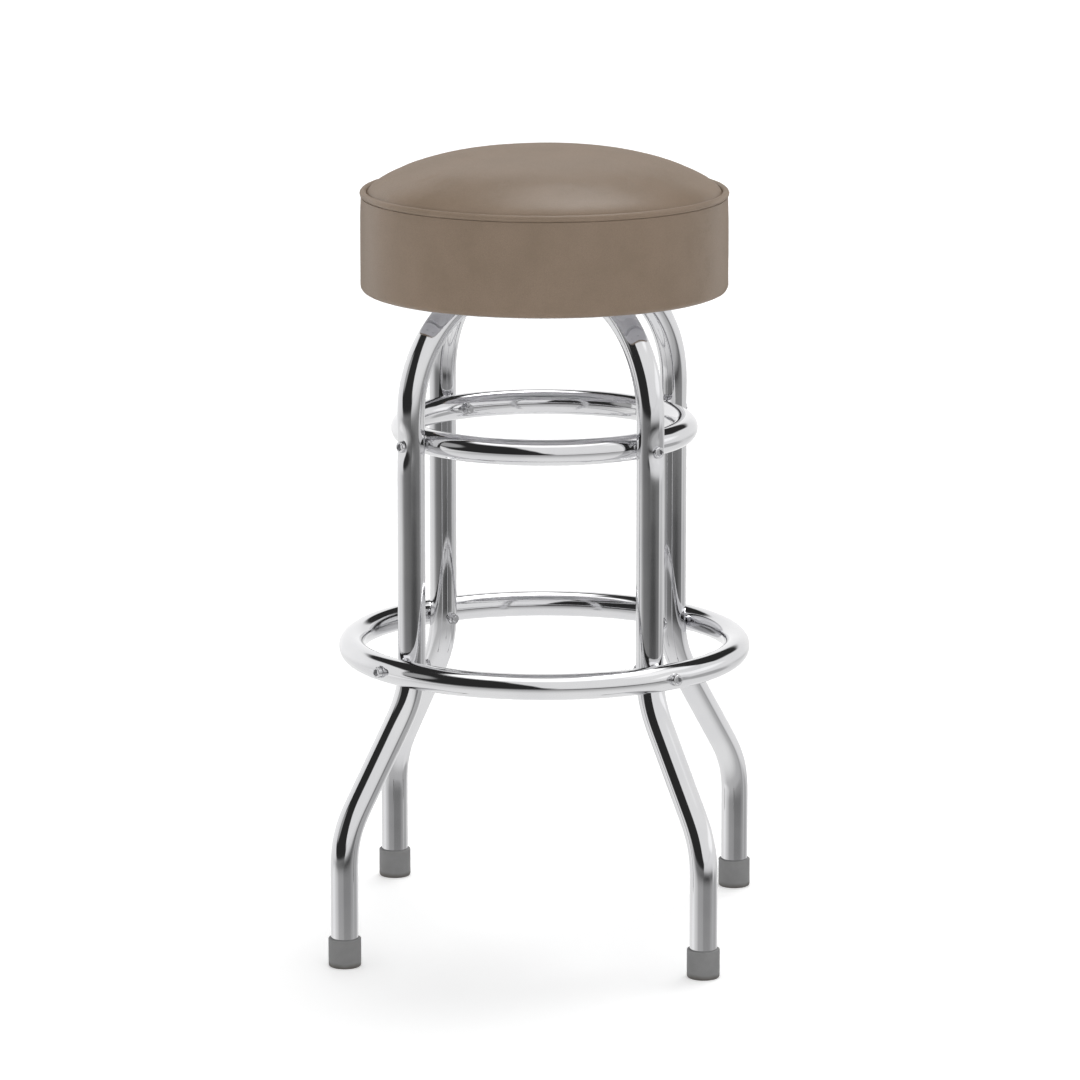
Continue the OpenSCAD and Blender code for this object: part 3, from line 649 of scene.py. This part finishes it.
for ring_name, (height, tip, head_foot, head_h) in BOLT_PLACES.items():
    length = head_foot - tip
    top = length + head_h
    thread = []
    for turn in range(THREAD_TURNS):
        crest = THREAD_START + turn * THREAD_PITCH
        thread += [(SHANK_R, crest), (THREAD_ROOT_R, crest + THREAD_PITCH / 2)]
    shoulder = []
    for degrees in range(0, 91, 15):
        lean = math.radians(degrees)
        shoulder.append((
            HEAD_R - HEAD_EDGE_R * (1 - math.cos(lean)), top - HEAD_EDGE_R * (1 - math.sin(lean))))
    mouth_r, socket_r = SOCKET_RINGS
    rings = [
        (SHANK_TIP_R, 0.0), *thread, (SHANK_R, THREAD_END), (SHANK_R, length),
        (HEAD_R - EDGE_BREAK, length), (HEAD_R, length + EDGE_BREAK), *shoulder,
        (mouth_r, top), (socket_r, top - SOCKET_CHAMFER), (socket_r, top - SOCKET_H)]
    bolt = drawn_up(f"{ring_name}_button_bolts", in_metres(rings), BOLT_SIDES)
    made_hexagonal(bolt, BOLT_SIDES, SOCKET_AF * MM, len(rings) - 2, len(rings) - 1)
    closed_up(bolt)
    bolt = set_round(bolt, LEG_TURNS, tip * MM, height * MM)
    finished(bolt, plated, 35)
    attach(bolt, "base")
    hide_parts(f"{ring_name}_bolts")

    rings = [
        (SHANK_R, 0.0), (NUT_FACE_R, 0.0), (NUT_R, NUT_CHAMFER), (NUT_R, NUT_H - NUT_CHAMFER),
        (NUT_FACE_R, NUT_H), (NUT_MOUTH_R, NUT_H), (SHANK_R, NUT_H - NUT_MOUTH_H), (SHANK_R, 0.0)]
    nut = drawn_up(f"{ring_name}_hex_nuts", in_metres(rings), BOLT_SIDES)
    made_hexagonal(nut, BOLT_SIDES, NUT_AF * MM, 2, 3)
    closed_up(nut)
    nut = set_round(nut, LEG_TURNS, (tip + NUT_OFF_TIP) * MM, height * MM)
    finished(nut, plated, 25)
    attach(nut, "base")
    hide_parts(f"{ring_name}_nuts")

# Where each washer's two faces lie along the radius: under the heads and under the nuts
WASHER_PLACES = {
    "foot_ring": ((202.0, 203.9), (150.05, 152.6)),
    "upper_ring": ((173.9, 175.5), (124.6, 127.0)),
}
for ring_name, faces in WASHER_PLACES.items():
    pair = []
    for low, high in faces:
        thick = high - low
        rings = [
            (WASHER_BORE_R, 0), (WASHER_R - EDGE_BREAK, 0), (WASHER_R, EDGE_BREAK),
            (WASHER_R, thick - EDGE_BREAK), (WASHER_R - EDGE_BREAK, thick), (WASHER_BORE_R, thick),
            (WASHER_BORE_R, 0)]
        washer = drawn_up(f"{ring_name}_thick_washers", in_metres(rings), BOLT_SIDES)
        closed_up(washer)
        pair.append(set_round(washer, LEG_TURNS, low * MM, BOLT_PLACES[ring_name][0] * MM))
    deselect()
    for washer in pair:
        washer.select_set(True)
    bpy.context.view_layer.objects.active = pair[0]
    bpy.ops.object.join()
    finished(pair[0], plated, 30)
    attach(pair[0], "base")
    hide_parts(f"{ring_name}_washers")

# Swivel
# Two pressed steel plates with ball races, riveted together by the king pin round a cage
# of polished balls. Plates, cage and screws are zinc plated, which looks greyer than the
# chrome and slightly cloudy.

ZINC_HAZE = ("#B4B8BD", "#D2D3D2")
ZINC_HAZE_PER_M = 60           # clouds of about 17 mm
ZINC_SPANGLE_PER_M = 1 / 0.004
ZINC_PITS_PER_M = 1 / 0.0008
BALL_HAZE = ("#BFBFC0", "#D0D1D4")
BALL_HAZE_PER_M = 200          # about 5 mm, a ball's own size
BALL_SCUFFS_PER_M = 1 / 0.002

zinc, shader, tree = finish_of("zinc_plated_steel", "#C3C6CA", metallic=1.0, roughness=0.3)
where = add(tree, "TexCoord", give="Object")
spangle = add(tree, "TexVoronoi", {"Vector": where, "Scale": ZINC_SPANGLE_PER_M}, give="Distance")
haze = add(tree, "TexNoise", {"Vector": where, "Scale": ZINC_HAZE_PER_M, "Detail": 4})
pits = add(tree, "TexNoise", {"Vector": where, "Scale": ZINC_PITS_PER_M, "Detail": 3})
dulled = add(tree, "MapRange", (haze, 0, 1, 0.22, 0.36))
dark, pale = ZINC_HAZE
wire(tree, shader, roughness=add(tree, "Math", (spangle, 0.08, dulled), operation="MULTIPLY_ADD"),
     base_color=add(tree, "Mix", {0: haze, 6: linear(dark), 7: linear(pale)}, give=2, data_type="RGBA"),
     normal=add(tree, "Bump", {"Height": pits, "Distance": 0.00004, "Strength": 0.6}))
dress(zinc, "swivel_lower_plate", "swivel_upper_plate", "swivel_king_pin", "king_pin_washer", "ball_cage",
      "swivel_mount_bolts", "swivel_mount_washers", "swivel_mount_nuts",
      "seat_bolts", "seat_bolt_washers", "seat_tee_nuts", "spacer_ring_screws", "staples")

# The balls mirror almost cleanly, with fine scuffs from running in the races
steel, shader, tree = finish_of("polished_bearing_steel", "#C9CACC", metallic=1.0, roughness=0.05)
where = add(tree, "TexCoord", give="Object")
scuffs = add(tree, "TexNoise", {"Vector": where, "Scale": BALL_SCUFFS_PER_M, "Detail": 3})
haze = add(tree, "TexNoise", {"Vector": where, "Scale": BALL_HAZE_PER_M, "Detail": 3})
dark, pale = BALL_HAZE
wire(tree, shader, roughness=add(tree, "MapRange", (scuffs, 0, 1, 0.03, 0.09)),
     base_color=add(tree, "Mix", {0: haze, 6: linear(dark), 7: linear(pale)}, give=2, data_type="RGBA"))
dress(steel, "bearing_balls")

# Seat board and spacer ring
# Birch plywood, sawn round and brushed with a pale violet-grey sealer. The faces keep the
# long grain and the sawn edge shows the plies. The flats of the tubes mirror it.

PLY_T = 0.0015
GRAIN_ACROSS_PER_M = 1 / 0.004
GRAIN_STRETCH = 0.08
SEALER_CLOUDS_PER_M = 18       # about 55 mm each

# The board, up in the recess, is painted paler to lift the shade that falls there, and the
# ring at the rim, where light falls, is painted darker: painted light on both. Each row: the
# sealer, the grain's two tints, the worn places, and the plies' two tints
for name, piece_name, sealer, faces, worn, edges in (
        ("board_plywood_paled_against_shade", "seat_board",
         "#F8F7F9", ("#F5F4F7", "#FBFAFC"), "#F0EFF2", ("#F5F4F7", "#DDDBE0")),
        ("ring_plywood_with_painted_light", "spacer_ring",
         "#D0CFD4", ("#C9C8CD", "#D6D5D9"), "#C5C4C9", ("#FAF9FB", "#F1F0F3"))):
    ply, shader, tree = finish_of(name, sealer, roughness=0.55)
    where = add(tree, "TexCoord", give="Object")
    along = add(tree, "Mapping", {"Vector": where, "Scale": (GRAIN_STRETCH, 1, 1)})
    grain = add(tree, "TexNoise", {
        "Vector": along, "Scale": GRAIN_ACROSS_PER_M, "Detail": 5, "Roughness": 0.6})
    clouds = add(tree, "TexNoise", {"Vector": where, "Scale": SEALER_CLOUDS_PER_M, "Detail": 3})
    grained = add(tree, "MapRange", (grain, 0.35, 0.7), interpolation_type="SMOOTHSTEP")
    dark, pale = faces
    face = add(tree, "Mix", {0: grained, 6: linear(dark), 7: linear(pale)}, give=2, data_type="RGBA")
    rubbed = add(tree, "MapRange", (clouds, 0.4, 0.8), interpolation_type="SMOOTHSTEP")
    rubbed = add(tree, "Math", (rubbed, 0.4), operation="MULTIPLY")
    face = add(tree, "Mix", {0: rubbed, 6: face, 7: linear(worn)}, give=2, data_type="RGBA")
    height = add(tree, "SeparateXYZ", (where,), give="Z")
    layer = add(tree, "Math", (height, 1 / PLY_T), operation="MULTIPLY")
    layer = add(tree, "Math", (layer, 1.0), operation="PINGPONG")
    layer = add(tree, "MapRange", (layer, 0.35, 0.65), interpolation_type="SMOOTHSTEP")
    # On the ring, the plies' two tints are painted pale, to lift the shade on its upright inner wall in the
    # recess: painted light
    dark, pale = edges
    plies = add(tree, "Mix", {0: layer, 6: linear(dark), 7: linear(pale)}, give=2, data_type="RGBA")
    upward = add(tree, "SeparateXYZ", (add(tree, "NewGeometry", give="Normal"),), give="Z")
    upward = add(tree, "Math", (upward,), operation="ABSOLUTE")
    sawn = add(tree, "Math", (upward, 0.5), operation="LESS_THAN")
    wire(tree, shader, roughness=add(tree, "MapRange", (grain, 0, 1, 0.48, 0.66)),
         base_color=add(tree, "Mix", {0: sawn, 6: face, 7: plies}, give=2, data_type="RGBA"),
         normal=add(tree, "Bump", {"Height": grain, "Distance": 0.00015, "Strength": 0.5}))
    dress(ply, piece_name)

# Foam cushion
# A round block of polyurethane foam, glued to the board and sanded to a dome that the
# cover presses tight. The cut face is a fine open sponge.

SEAM_Z = 0.7385
OVER_SEAM_Z = SEAM_Z + 0.0001
BOARD_TOP_Z = 0.6995
CROWN_R = 0.1735
CROWN_RISE = 0.0425
DOME_ROUND, DOME_FALL = 2.25, 0.68
DOME_RINGS, DOME_STEP = 17, 4  # rings, and the degrees between them
FOAM_INSET = 0.0016            # the cover's thickness and a little air
FOAM_PRESS = 0.001             # what the cover presses off its top and its lower edge
FOAM_SHOULDER = 0.012
FOAM_SIDES = 128
FOAM_DARK, FOAM_PALE = "#C4B483", "#F0E6C2"
FOAM_CELL_PER_M = 1 / 0.0016


def close_rim(piece, radius, height):
    """Fills a ring of open edges with a grid of faces, so that no pole shows."""
    bpy.context.view_layer.objects.active = piece
    bpy.ops.object.mode_set(mode="EDIT")
    bpy.ops.mesh.select_all(action="DESELECT")
    bpy.ops.object.mode_set(mode="OBJECT")
    points = piece.data.vertices
    for point in points:
        point.select = abs(point.co.z - height) < 1e-5 and abs(point.co.xy.length - radius) < 1e-5
    for edge in piece.data.edges:
        edge.select = all(points[i].select for i in edge.vertices)
    bpy.ops.object.mode_set(mode="EDIT")
    bpy.ops.mesh.fill_grid()
    bpy.ops.mesh.select_all(action="SELECT")
    bpy.ops.mesh.normals_make_consistent(inside=False)
    bpy.ops.object.mode_set(mode="OBJECT")


def dome_height(radius, edge_radius, rise):
    """Height of the cushion's dome at a distance from the axis."""
    return SEAM_Z + rise * max(0.0, 1 - (radius / edge_radius) ** DOME_ROUND) ** DOME_FALL


def dome_rings(edge_radius, rise):
    """Rings from the seam up the dome, closer together where it is steep, as far as its flat middle."""
    radii = [edge_radius * math.sin(math.radians(90 - DOME_STEP * step)) for step in range(DOME_RINGS)]
    return [(radius, dome_height(radius, edge_radius, rise)) for radius in radii]


def domed(piece, edge_radius, rise):
    """Raises the grid in the dome's middle to the dome."""
    for vertex in piece.data.vertices:
        if vertex.co.z > OVER_SEAM_Z:
            vertex.co.z = dome_height(vertex.co.xy.length, edge_radius, rise)


foam, shader, tree = finish_of("open_cell_foam", "#EADFB8", roughness=0.95, specular_ior_level=0.15)
where = add(tree, "TexCoord", give="Object")
cells = add(tree, "TexVoronoi", {"Vector": where, "Scale": FOAM_CELL_PER_M}, give="Distance")
walls = add(tree, "MapRange", (cells, 0.0, 0.6), interpolation_type="SMOOTHSTEP")
dark, pale = FOAM_DARK, FOAM_PALE
wire(tree, shader,
     base_color=add(tree, "Mix", {0: walls, 6: linear(dark), 7: linear(pale)}, give=2, data_type="RGBA"),
     normal=add(tree, "Bump", {"Height": cells, "Distance": 0.0004, "Strength": 0.7}))

foam_r = CROWN_R - FOAM_INSET
foam_rise = CROWN_RISE - FOAM_INSET - FOAM_PRESS
rings = dome_rings(foam_r, foam_rise)
cushion = drawn_up("cushion_foam", [
    (foam_r - FOAM_PRESS, BOARD_TOP_Z), (foam_r, BOARD_TOP_Z + FOAM_PRESS),
    (foam_r, SEAM_Z - FOAM_SHOULDER)] + rings, FOAM_SIDES)
close_rim(cushion, *rings[-1])
close_rim(cushion, foam_r - FOAM_PRESS, BOARD_TOP_Z)
domed(cushion, foam_r, foam_rise)
finished(cushion, foam)
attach(cushion, "seat")
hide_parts("seat_foam")

# Side padding
# A strip of the same foam, 6 mm thick, glued round the board and the spacer ring.

SEAT_R = 0.18
RIM_Z = 0.643
BAND_H = 0.0955
RIM_ROUND = 0.0055
RIM_STEPS, BAND_STEPS = 9, 16
BAND_PULL = 0.001
VINYL_T = 0.0012
PAD_INSET = VINYL_T + 0.0006   # under the band
PAD_HEM_R = 0.15
PAD_INNER_R = 0.1732
PAD_TOP_R = 0.1772
PAD_RIM_Z = 0.6452
PAD_TOP_Z = 0.7303
PAD_EDGE = 0.0004


def band_rings(inset, low_radius, top_z):
    """Rings up the seat's side: in from the rim's underside, round its edge and up the band."""
    reach = RIM_ROUND - inset
    centre = (SEAT_R - RIM_ROUND, RIM_Z + RIM_ROUND)
    rings = [(low_radius, RIM_Z + inset)]
    for step in range(RIM_STEPS + 1):
        angle = math.radians(-90 + 90 * step / RIM_STEPS)
        rings.append((centre[0] + reach * math.cos(angle), centre[1] + reach * math.sin(angle)))
    for step in range(1, BAND_STEPS + 1):
        height = centre[1] + (top_z - centre[1]) * step / BAND_STEPS
        drawn_in = max(0.0, 2 * (height - RIM_Z) / BAND_H - 1)
        rings.append((SEAT_R - BAND_PULL * drawn_in ** 3 - inset, height))
    return rings


strip = drawn_up("side_foam", band_rings(PAD_INSET, PAD_HEM_R, PAD_TOP_Z - PAD_EDGE) + [
    (PAD_TOP_R, PAD_TOP_Z), (PAD_INNER_R + PAD_EDGE, PAD_TOP_Z), (PAD_INNER_R, PAD_TOP_Z - PAD_EDGE),
    (PAD_INNER_R, PAD_RIM_Z), (PAD_HEM_R, PAD_RIM_Z), (PAD_HEM_R, RIM_Z + PAD_INSET)], FOAM_SIDES)
closed_up(strip)
finished(strip, foam)
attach(strip, "seat")
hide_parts("side_padding")

# Seat band
# A strip of upholstery vinyl, sewn to the piping at the top and pulled down over the rim.
# Its ends meet in a seam at the back, and its hem is stapled to the spacer ring.

VINYL_TAUPE = "#8F7D6C"
VINYL_DARK = "#8B7A69"
VINYL_PALE = "#92806F"
VINYL_CREASE_SHADE = "#756658"
VINYL_MOTTLE_PER_M = 22        # patches of about 45 mm
# The real grain is about 0.6 mm. It is drawn at 1.3 mm, so that it shows.
VINYL_GRAIN_PER_M = 1 / 0.0013
GRAIN_WANDER = 0.0012
GRAIN_WANDER_PER_M = 300.0     # over about 3 mm
SKIN_PORES_PER_M = 1 / 0.0004

# Pebbled and satin: the creases between the pebbles are duller, and their colour is painted darker as
# painted shade
vinyl, shader, tree = finish_of(
    "taupe_upholstery_vinyl", VINYL_TAUPE, roughness=0.34, specular_ior_level=0.2)
where = add(tree, "TexCoord", give="Object")
wander = add(tree, "TexNoise", {
    "Vector": where, "Scale": GRAIN_WANDER_PER_M, "Detail": 2.0}, give="Color")
wander = add(tree, "VectorMath", (wander, (GRAIN_WANDER,) * 3), operation="MULTIPLY")
wander = add(tree, "VectorMath", (where, wander), operation="ADD")
creases = add(tree, "TexVoronoi", {"Vector": wander, "Scale": VINYL_GRAIN_PER_M}, give="Distance",
              feature="DISTANCE_TO_EDGE")
pebble = add(tree, "MapRange", (creases, 0.0, 0.28), interpolation_type="SMOOTHSTEP")
mottle = add(tree, "TexNoise", {
    "Vector": where, "Scale": VINYL_MOTTLE_PER_M, "Detail": 4, "Roughness": 0.6})
mottled = add(tree, "MapRange", (mottle, 0.3, 0.7), interpolation_type="SMOOTHSTEP")
dark, pale = VINYL_DARK, VINYL_PALE
colour = add(tree, "Mix", {0: mottled, 6: linear(dark), 7: linear(pale)}, give=2, data_type="RGBA")
# Painted shade: the colour is darkened in the creases between the pebbles
painted_crease_shade = add(tree, "Math", (pebble, -0.3, 0.3), operation="MULTIPLY_ADD")
colour = add(tree, "Mix", {0: painted_crease_shade, 6: colour, 7: linear(VINYL_CREASE_SHADE)}, give=2, data_type="RGBA")
# The pebbled skin loses its gloss where it is seen along the surface
grazed = add(tree, "LayerWeight", {"Blend": 0.5}, give="Facing")
grazed = add(tree, "MapRange", (grazed, 0.55, 0.95), interpolation_type="SMOOTHSTEP")
dulled = add(tree, "MapRange", (mottle, 0, 1, 0.3, 0.36))
dulled = add(tree, "Math", (pebble, -0.05, dulled), operation="MULTIPLY_ADD")
dulled = add(tree, "Math", (grazed, 0.3, dulled), operation="MULTIPLY_ADD")
pebbles = add(tree, "Bump", {"Height": pebble, "Distance": 0.00009, "Strength": 0.45})
pores = add(tree, "TexNoise", {"Vector": where, "Scale": SKIN_PORES_PER_M, "Detail": 2})
wire(tree, shader, base_color=colour, roughness=dulled, normal=add(tree, "Bump", {
    "Height": pores, "Distance": 0.00003, "Strength": 0.3, "Normal": pebbles}))

BAND_SIDES = 240
HEM_R = 0.1602
BAND_TOP_Z = 0.7352
BAND_FACE_FROM_R = 0.176       # what lies inside this is the hem
BAND_TUCK = (0.1786, 0.7354)   # the last ring, turned in under the piping
SEAM_TURN = 90.0               # the seam's turn about the axis, at the back
# In millimetres: the seam's groove and its half width, and the fold that lies on each side
# of it, its half width and its distance from the seam
GROOVE_D, GROOVE_HALF = 0.9, 0.7
FOLD_D, FOLD_HALF, FOLD_OFF = 0.35, 1.6, 2.6
# The vinyl is pulled uneven in the top of the band by the stitches, and at its foot by the rim
STITCHED_FROM = 0.78
RIM_PULLED_TO = 0.14
BAND_WAVE = (0.00022, 0.05, 3)
BAND_PUCKER = (0.00035, 0.011, 7)
BAND_MOST_OUT = 0.0003


def walled(piece, thickness):
    """Gives a sheet its thickness on the inner side."""
    bpy.context.view_layer.objects.active = piece
    wall = piece.modifiers.new("wall", "SOLIDIFY")
    wall.thickness = thickness
    wall.offset = -1
    wall.use_even_offset = True
    bpy.ops.object.modifier_apply(modifier="wall")


def divided_near(piece, turn, half_width, cuts):
    """Cuts the faces near one turn of a wall into narrower strips."""
    bpy.context.view_layer.objects.active = piece
    bpy.ops.object.mode_set(mode="EDIT")
    bpy.ops.mesh.select_all(action="DESELECT")
    bpy.ops.object.mode_set(mode="OBJECT")
    points = piece.data.vertices
    for edge in piece.data.edges:
        ends = [points[i].co for i in edge.vertices]
        turns = [math.degrees(math.atan2(end.y, end.x)) - turn for end in ends]
        level = abs(ends[0].z - ends[1].z) < 1e-6 and abs(ends[0].xy.length - ends[1].xy.length) < 1e-6
        edge.select = level and all(abs(t) < half_width for t in turns)
    bpy.ops.object.mode_set(mode="EDIT")
    bpy.ops.mesh.select_mode(type="EDGE")
    bpy.ops.mesh.subdivide(number_cuts=cuts)
    bpy.ops.mesh.select_mode(type="VERT")
    bpy.ops.object.mode_set(mode="OBJECT")


def pulled(spot, amount, size, seed):
    """A soft wave of that height in metres, for cloth that isn't quite even."""
    return amount * noise.noise(Vector((spot.x / size + seed, spot.y / size, spot.z / size)))


band = drawn_up("band_cover", band_rings(0, HEM_R, BAND_TOP_Z) + [BAND_TUCK], BAND_SIDES)
divided_near(band, SEAM_TURN, 4.6, 5)
for vertex in band.data.vertices:
    radius, turn = vertex.co.xy.length, math.degrees(math.atan2(vertex.co.y, vertex.co.x))
    if radius > BAND_FACE_FROM_R:
        up = (vertex.co.z - RIM_Z) / BAND_H
        aside = math.radians(turn - SEAM_TURN) * SEAT_R / MM
        groove = -GROOVE_D * math.exp(-(aside / GROOVE_HALF) ** 2)
        folds = FOLD_D * math.exp(-((abs(aside) - FOLD_OFF) / FOLD_HALF) ** 2)
        near_piping = max(0.0, (up - STITCHED_FROM) / (1 - STITCHED_FROM))
        near_rim = max(0.0, (RIM_PULLED_TO - up) / RIM_PULLED_TO)
        pucker = pulled(Vector((vertex.co.x, vertex.co.y, 0)), *BAND_PUCKER)
        push = (groove + folds) * MM + pulled(vertex.co, *BAND_WAVE) + (near_piping + near_rim) * pucker
        vertex.co.xy *= (radius + min(push, BAND_MOST_OUT)) / radius
walled(band, VINYL_T)
finished(band, vinyl)
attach(band, "seat")
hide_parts("seat_band")

# Crown cover
# A disc of the same vinyl, sewn to the piping and drawn tight over the foam. The foam
# swells it between the seams, and it puckers slightly along the stitches.

CROWN_SIDES = 192
CROWN_SLACK = 0.0012
CROWN_TUCK = 0.008             # sewn down inside the seam
PRESS = 9.0
MOST_MOVE = 0.003
CLOTH_FRAMES = 16
# The stitches' pucker dies out within a few millimetres, and the dome's own wave starts there
CROWN_PUCKER = (0.0009, 0.009, 11)
PUCKER_REACH = 0.006
CROWN_WAVE = (0.0004, 0.07, 5)
WAVE_FROM = 0.02


def swelled(piece, pinned_below, press, most_move):
    """Presses a sewn cover outwards as cloth.

    It stays at its seam and off the foam, and moves less than most_move.
    """
    start = [(vertex.co.copy(), vertex.normal.copy()) for vertex in piece.data.vertices]
    sewn = piece.vertex_groups.new(name="sewn")
    sewn.add([vertex.index for vertex in piece.data.vertices if vertex.co.z < pinned_below], 1.0, "REPLACE")
    cover = piece.modifiers.new("cover", "CLOTH")
    cover.settings.vertex_group_mass = "sewn"
    cover.settings.quality = 6
    cover.settings.mass = 0.3
    cover.settings.tension_stiffness = cover.settings.compression_stiffness = 12
    cover.settings.shear_stiffness = 8
    cover.settings.bending_stiffness = 1
    cover.settings.use_pressure = True
    cover.settings.uniform_pressure_force = press
    cover.settings.effector_weights.gravity = 0
    cover.collision_settings.use_collision = False
    cover.point_cache.frame_end = CLOTH_FRAMES
    for step in range(1, CLOTH_FRAMES + 1):
        bpy.context.scene.frame_set(step)
    bpy.context.view_layer.objects.active = piece
    bpy.ops.object.modifier_apply(modifier="cover")
    bpy.context.scene.frame_set(1)
    for vertex, (was, outward) in zip(piece.data.vertices, start):
        move = vertex.co - was
        move -= min(0.0, move.dot(outward)) * outward
        vertex.co = was + most_move * math.tanh(move.length / most_move) * move.normalized()
    piece.vertex_groups.clear()


crown_rise = CROWN_RISE - CROWN_SLACK
rings = dome_rings(CROWN_R, crown_rise)
crown = drawn_up("crown_vinyl", [
    (CROWN_R, SEAM_Z - CROWN_TUCK), (CROWN_R, SEAM_Z - CROWN_TUCK / 2)] + rings, CROWN_SIDES)
close_rim(crown, *rings[-1])
domed(crown, CROWN_R, crown_rise)
swelled(crown, OVER_SEAM_Z, PRESS, MOST_MOVE)
for vertex in crown.data.vertices:
    inward = CROWN_R - vertex.co.xy.length
    if vertex.co.z > OVER_SEAM_Z:
        pucker = pulled(Vector((vertex.co.x, vertex.co.y, 0)), *CROWN_PUCKER)
        vertex.co.z += (math.exp(-inward / PUCKER_REACH) * pucker
                        + pulled(vertex.co, *CROWN_WAVE) * min(1.0, inward / WAVE_FROM))
walled(crown, VINYL_T)
finished(crown, vinyl)
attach(crown, "seat")
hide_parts("crown_cover")

# Piping and its cord
# A narrow strip of vinyl, folded round a twisted paper cord and sewn into the seam. Its
# ends lap at the back.

PIPING_R = 0.177
PIPING_D = 0.007
PIPING_T = 0.0011
PIPING_STEPS, PIPING_SIDES = 300, 24
PIPING_SLACK = 0.00012
PIPING_WAVE = (0.00016, 0.012, 2)
LAP_T = 0.00022
LAP_HALF_DEGREES = 2.6
LAP_SLANT = 250                # degrees of turn for each metre of height
CORD_D = 0.0045
CORD_STEPS, CORD_SIDES = 720, 18
CORD_STRANDS = 3
CORD_TWISTS = 96
CORD_GROOVE = 0.06             # share of the cord's radius
CORD_FIBRES_PER_M = 1 / 0.0006


def hooped(name, radius, thickness, around, sides):
    """A round section spun into a hoop at the seam."""
    deselect()
    bpy.ops.mesh.primitive_circle_add(
        vertices=sides, radius=thickness / 2, location=(radius, 0, SEAM_Z), rotation=(math.pi / 2, 0, 0))
    piece = bpy.context.object
    piece.name = piece.data.name = name
    bpy.ops.object.transform_apply(location=True, rotation=True)
    bpy.ops.object.mode_set(mode="EDIT")
    bpy.ops.mesh.select_all(action="SELECT")
    bpy.ops.mesh.spin(steps=around, angle=2 * math.pi, center=(0, 0, 0), axis=(0, 0, 1))
    bpy.ops.object.mode_set(mode="OBJECT")
    closed_up(piece)
    return piece


def section_place(spot):
    """A point's turn about the axis, its way out, and its offset from the section's centre."""
    way = Vector((spot.x, spot.y, 0)).normalized()
    return math.atan2(spot.y, spot.x), way, Vector((spot.xy.length - PIPING_R, spot.z - SEAM_Z))


piping = hooped("piping_welt", PIPING_R, PIPING_D, PIPING_STEPS, PIPING_SIDES)
divided_near(piping, SEAM_TURN, 4.2, 4)
for vertex in piping.data.vertices:
    turn, way, offset = section_place(vertex.co)
    slant = math.degrees(turn) - SEAM_TURN + offset.y * LAP_SLANT
    lap = LAP_T if abs(slant) < LAP_HALF_DEGREES else 0.0
    swell = -PIPING_SLACK + lap + pulled(Vector((vertex.co.x, vertex.co.y, 0)), *PIPING_WAVE)
    offset *= 1 + swell / (PIPING_D / 2)
    vertex.co = way * (PIPING_R + offset.x) + Vector((0, 0, SEAM_Z + offset.y))
walled(piping, PIPING_T)
finished(piping, vinyl)
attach(piping, "seat")
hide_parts("seat_piping")

# Dull pale paper, with the fibres running as a fine fuzz over the strands
twine, shader, tree = finish_of("twisted_paper_cord", "#D8D0BE", roughness=0.85)
where = add(tree, "TexCoord", give="Object")
fibres = add(tree, "TexNoise", {"Vector": where, "Scale": CORD_FIBRES_PER_M, "Detail": 4})
dark, pale = "#C4B9A2", "#E4DECF"
wire(tree, shader,
     base_color=add(tree, "Mix", {0: fibres, 6: linear(dark), 7: linear(pale)}, give=2, data_type="RGBA"),
     normal=add(tree, "Bump", {"Height": fibres, "Distance": 0.0001}))
cord = hooped("piping_filler", PIPING_R, CORD_D, CORD_STEPS, CORD_SIDES)
for vertex in cord.data.vertices:
    turn, way, offset = section_place(vertex.co)
    strand = CORD_STRANDS * math.atan2(offset.y, offset.x) + CORD_TWISTS * turn
    offset *= 1 - CORD_GROOVE + CORD_GROOVE * math.cos(strand)
    vertex.co = way * (PIPING_R + offset.x) + Vector((0, 0, SEAM_Z + offset.y))
finished(cord, twine)
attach(cord, "seat")
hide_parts("piping_cord")

# Dust cover
# A strip of thin violet-grey non-woven cloth that hides the hem, pulled flat under the
# rim and held by the staples.

DUST_R = (0.153, 0.1735)
DUST_T = 0.0006
DUST_RINGS = (0.172, 0.169, 0.166, 0.163, 0.16, 0.157, 0.1545)
CLOTH_GREY = "#D0CFD4"
CLOTH_TINTS = ("#C9C8CD", "#D6D5D9")
CLOTH_FIBRES_PER_M = 1 / 0.0009
FIBRE_STRETCH = 0.25
BOND_DOTS_PER_M = 1 / 0.0022

# Matt, with fibres laid mostly one way and the dots where the web was pressed together
cloth, shader, tree = finish_of("grey_dust_cloth", CLOTH_GREY, roughness=0.9, sheen_weight=0.2)
where = add(tree, "TexCoord", give="Object")
along = add(tree, "Mapping", {"Vector": where, "Scale": (1, FIBRE_STRETCH, 1)})
fibres = add(tree, "TexNoise", {
    "Vector": along, "Scale": CLOTH_FIBRES_PER_M, "Detail": 5, "Roughness": 0.7})
dots = add(tree, "TexVoronoi", {
    "Vector": where, "Scale": BOND_DOTS_PER_M, "Randomness": 0.15}, give="Distance")
dark, pale = CLOTH_TINTS
web = add(tree, "Bump", {"Height": fibres, "Distance": 0.0001})
wire(tree, shader,
     base_color=add(tree, "Mix", {0: fibres, 6: linear(dark), 7: linear(pale)}, give=2, data_type="RGBA"),
     normal=add(tree, "Bump", {"Height": dots, "Distance": 0.0002, "Strength": 0.5, "Normal": web}))
rings = [(radius, RIM_Z) for radius in (DUST_R[1], *DUST_RINGS, DUST_R[0])]
dust = drawn_up("dust_strip", rings, BAND_SIDES)
walled(dust, DUST_T)
finished(dust, cloth)
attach(dust, "seat")
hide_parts("dust_cover")

low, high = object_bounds()
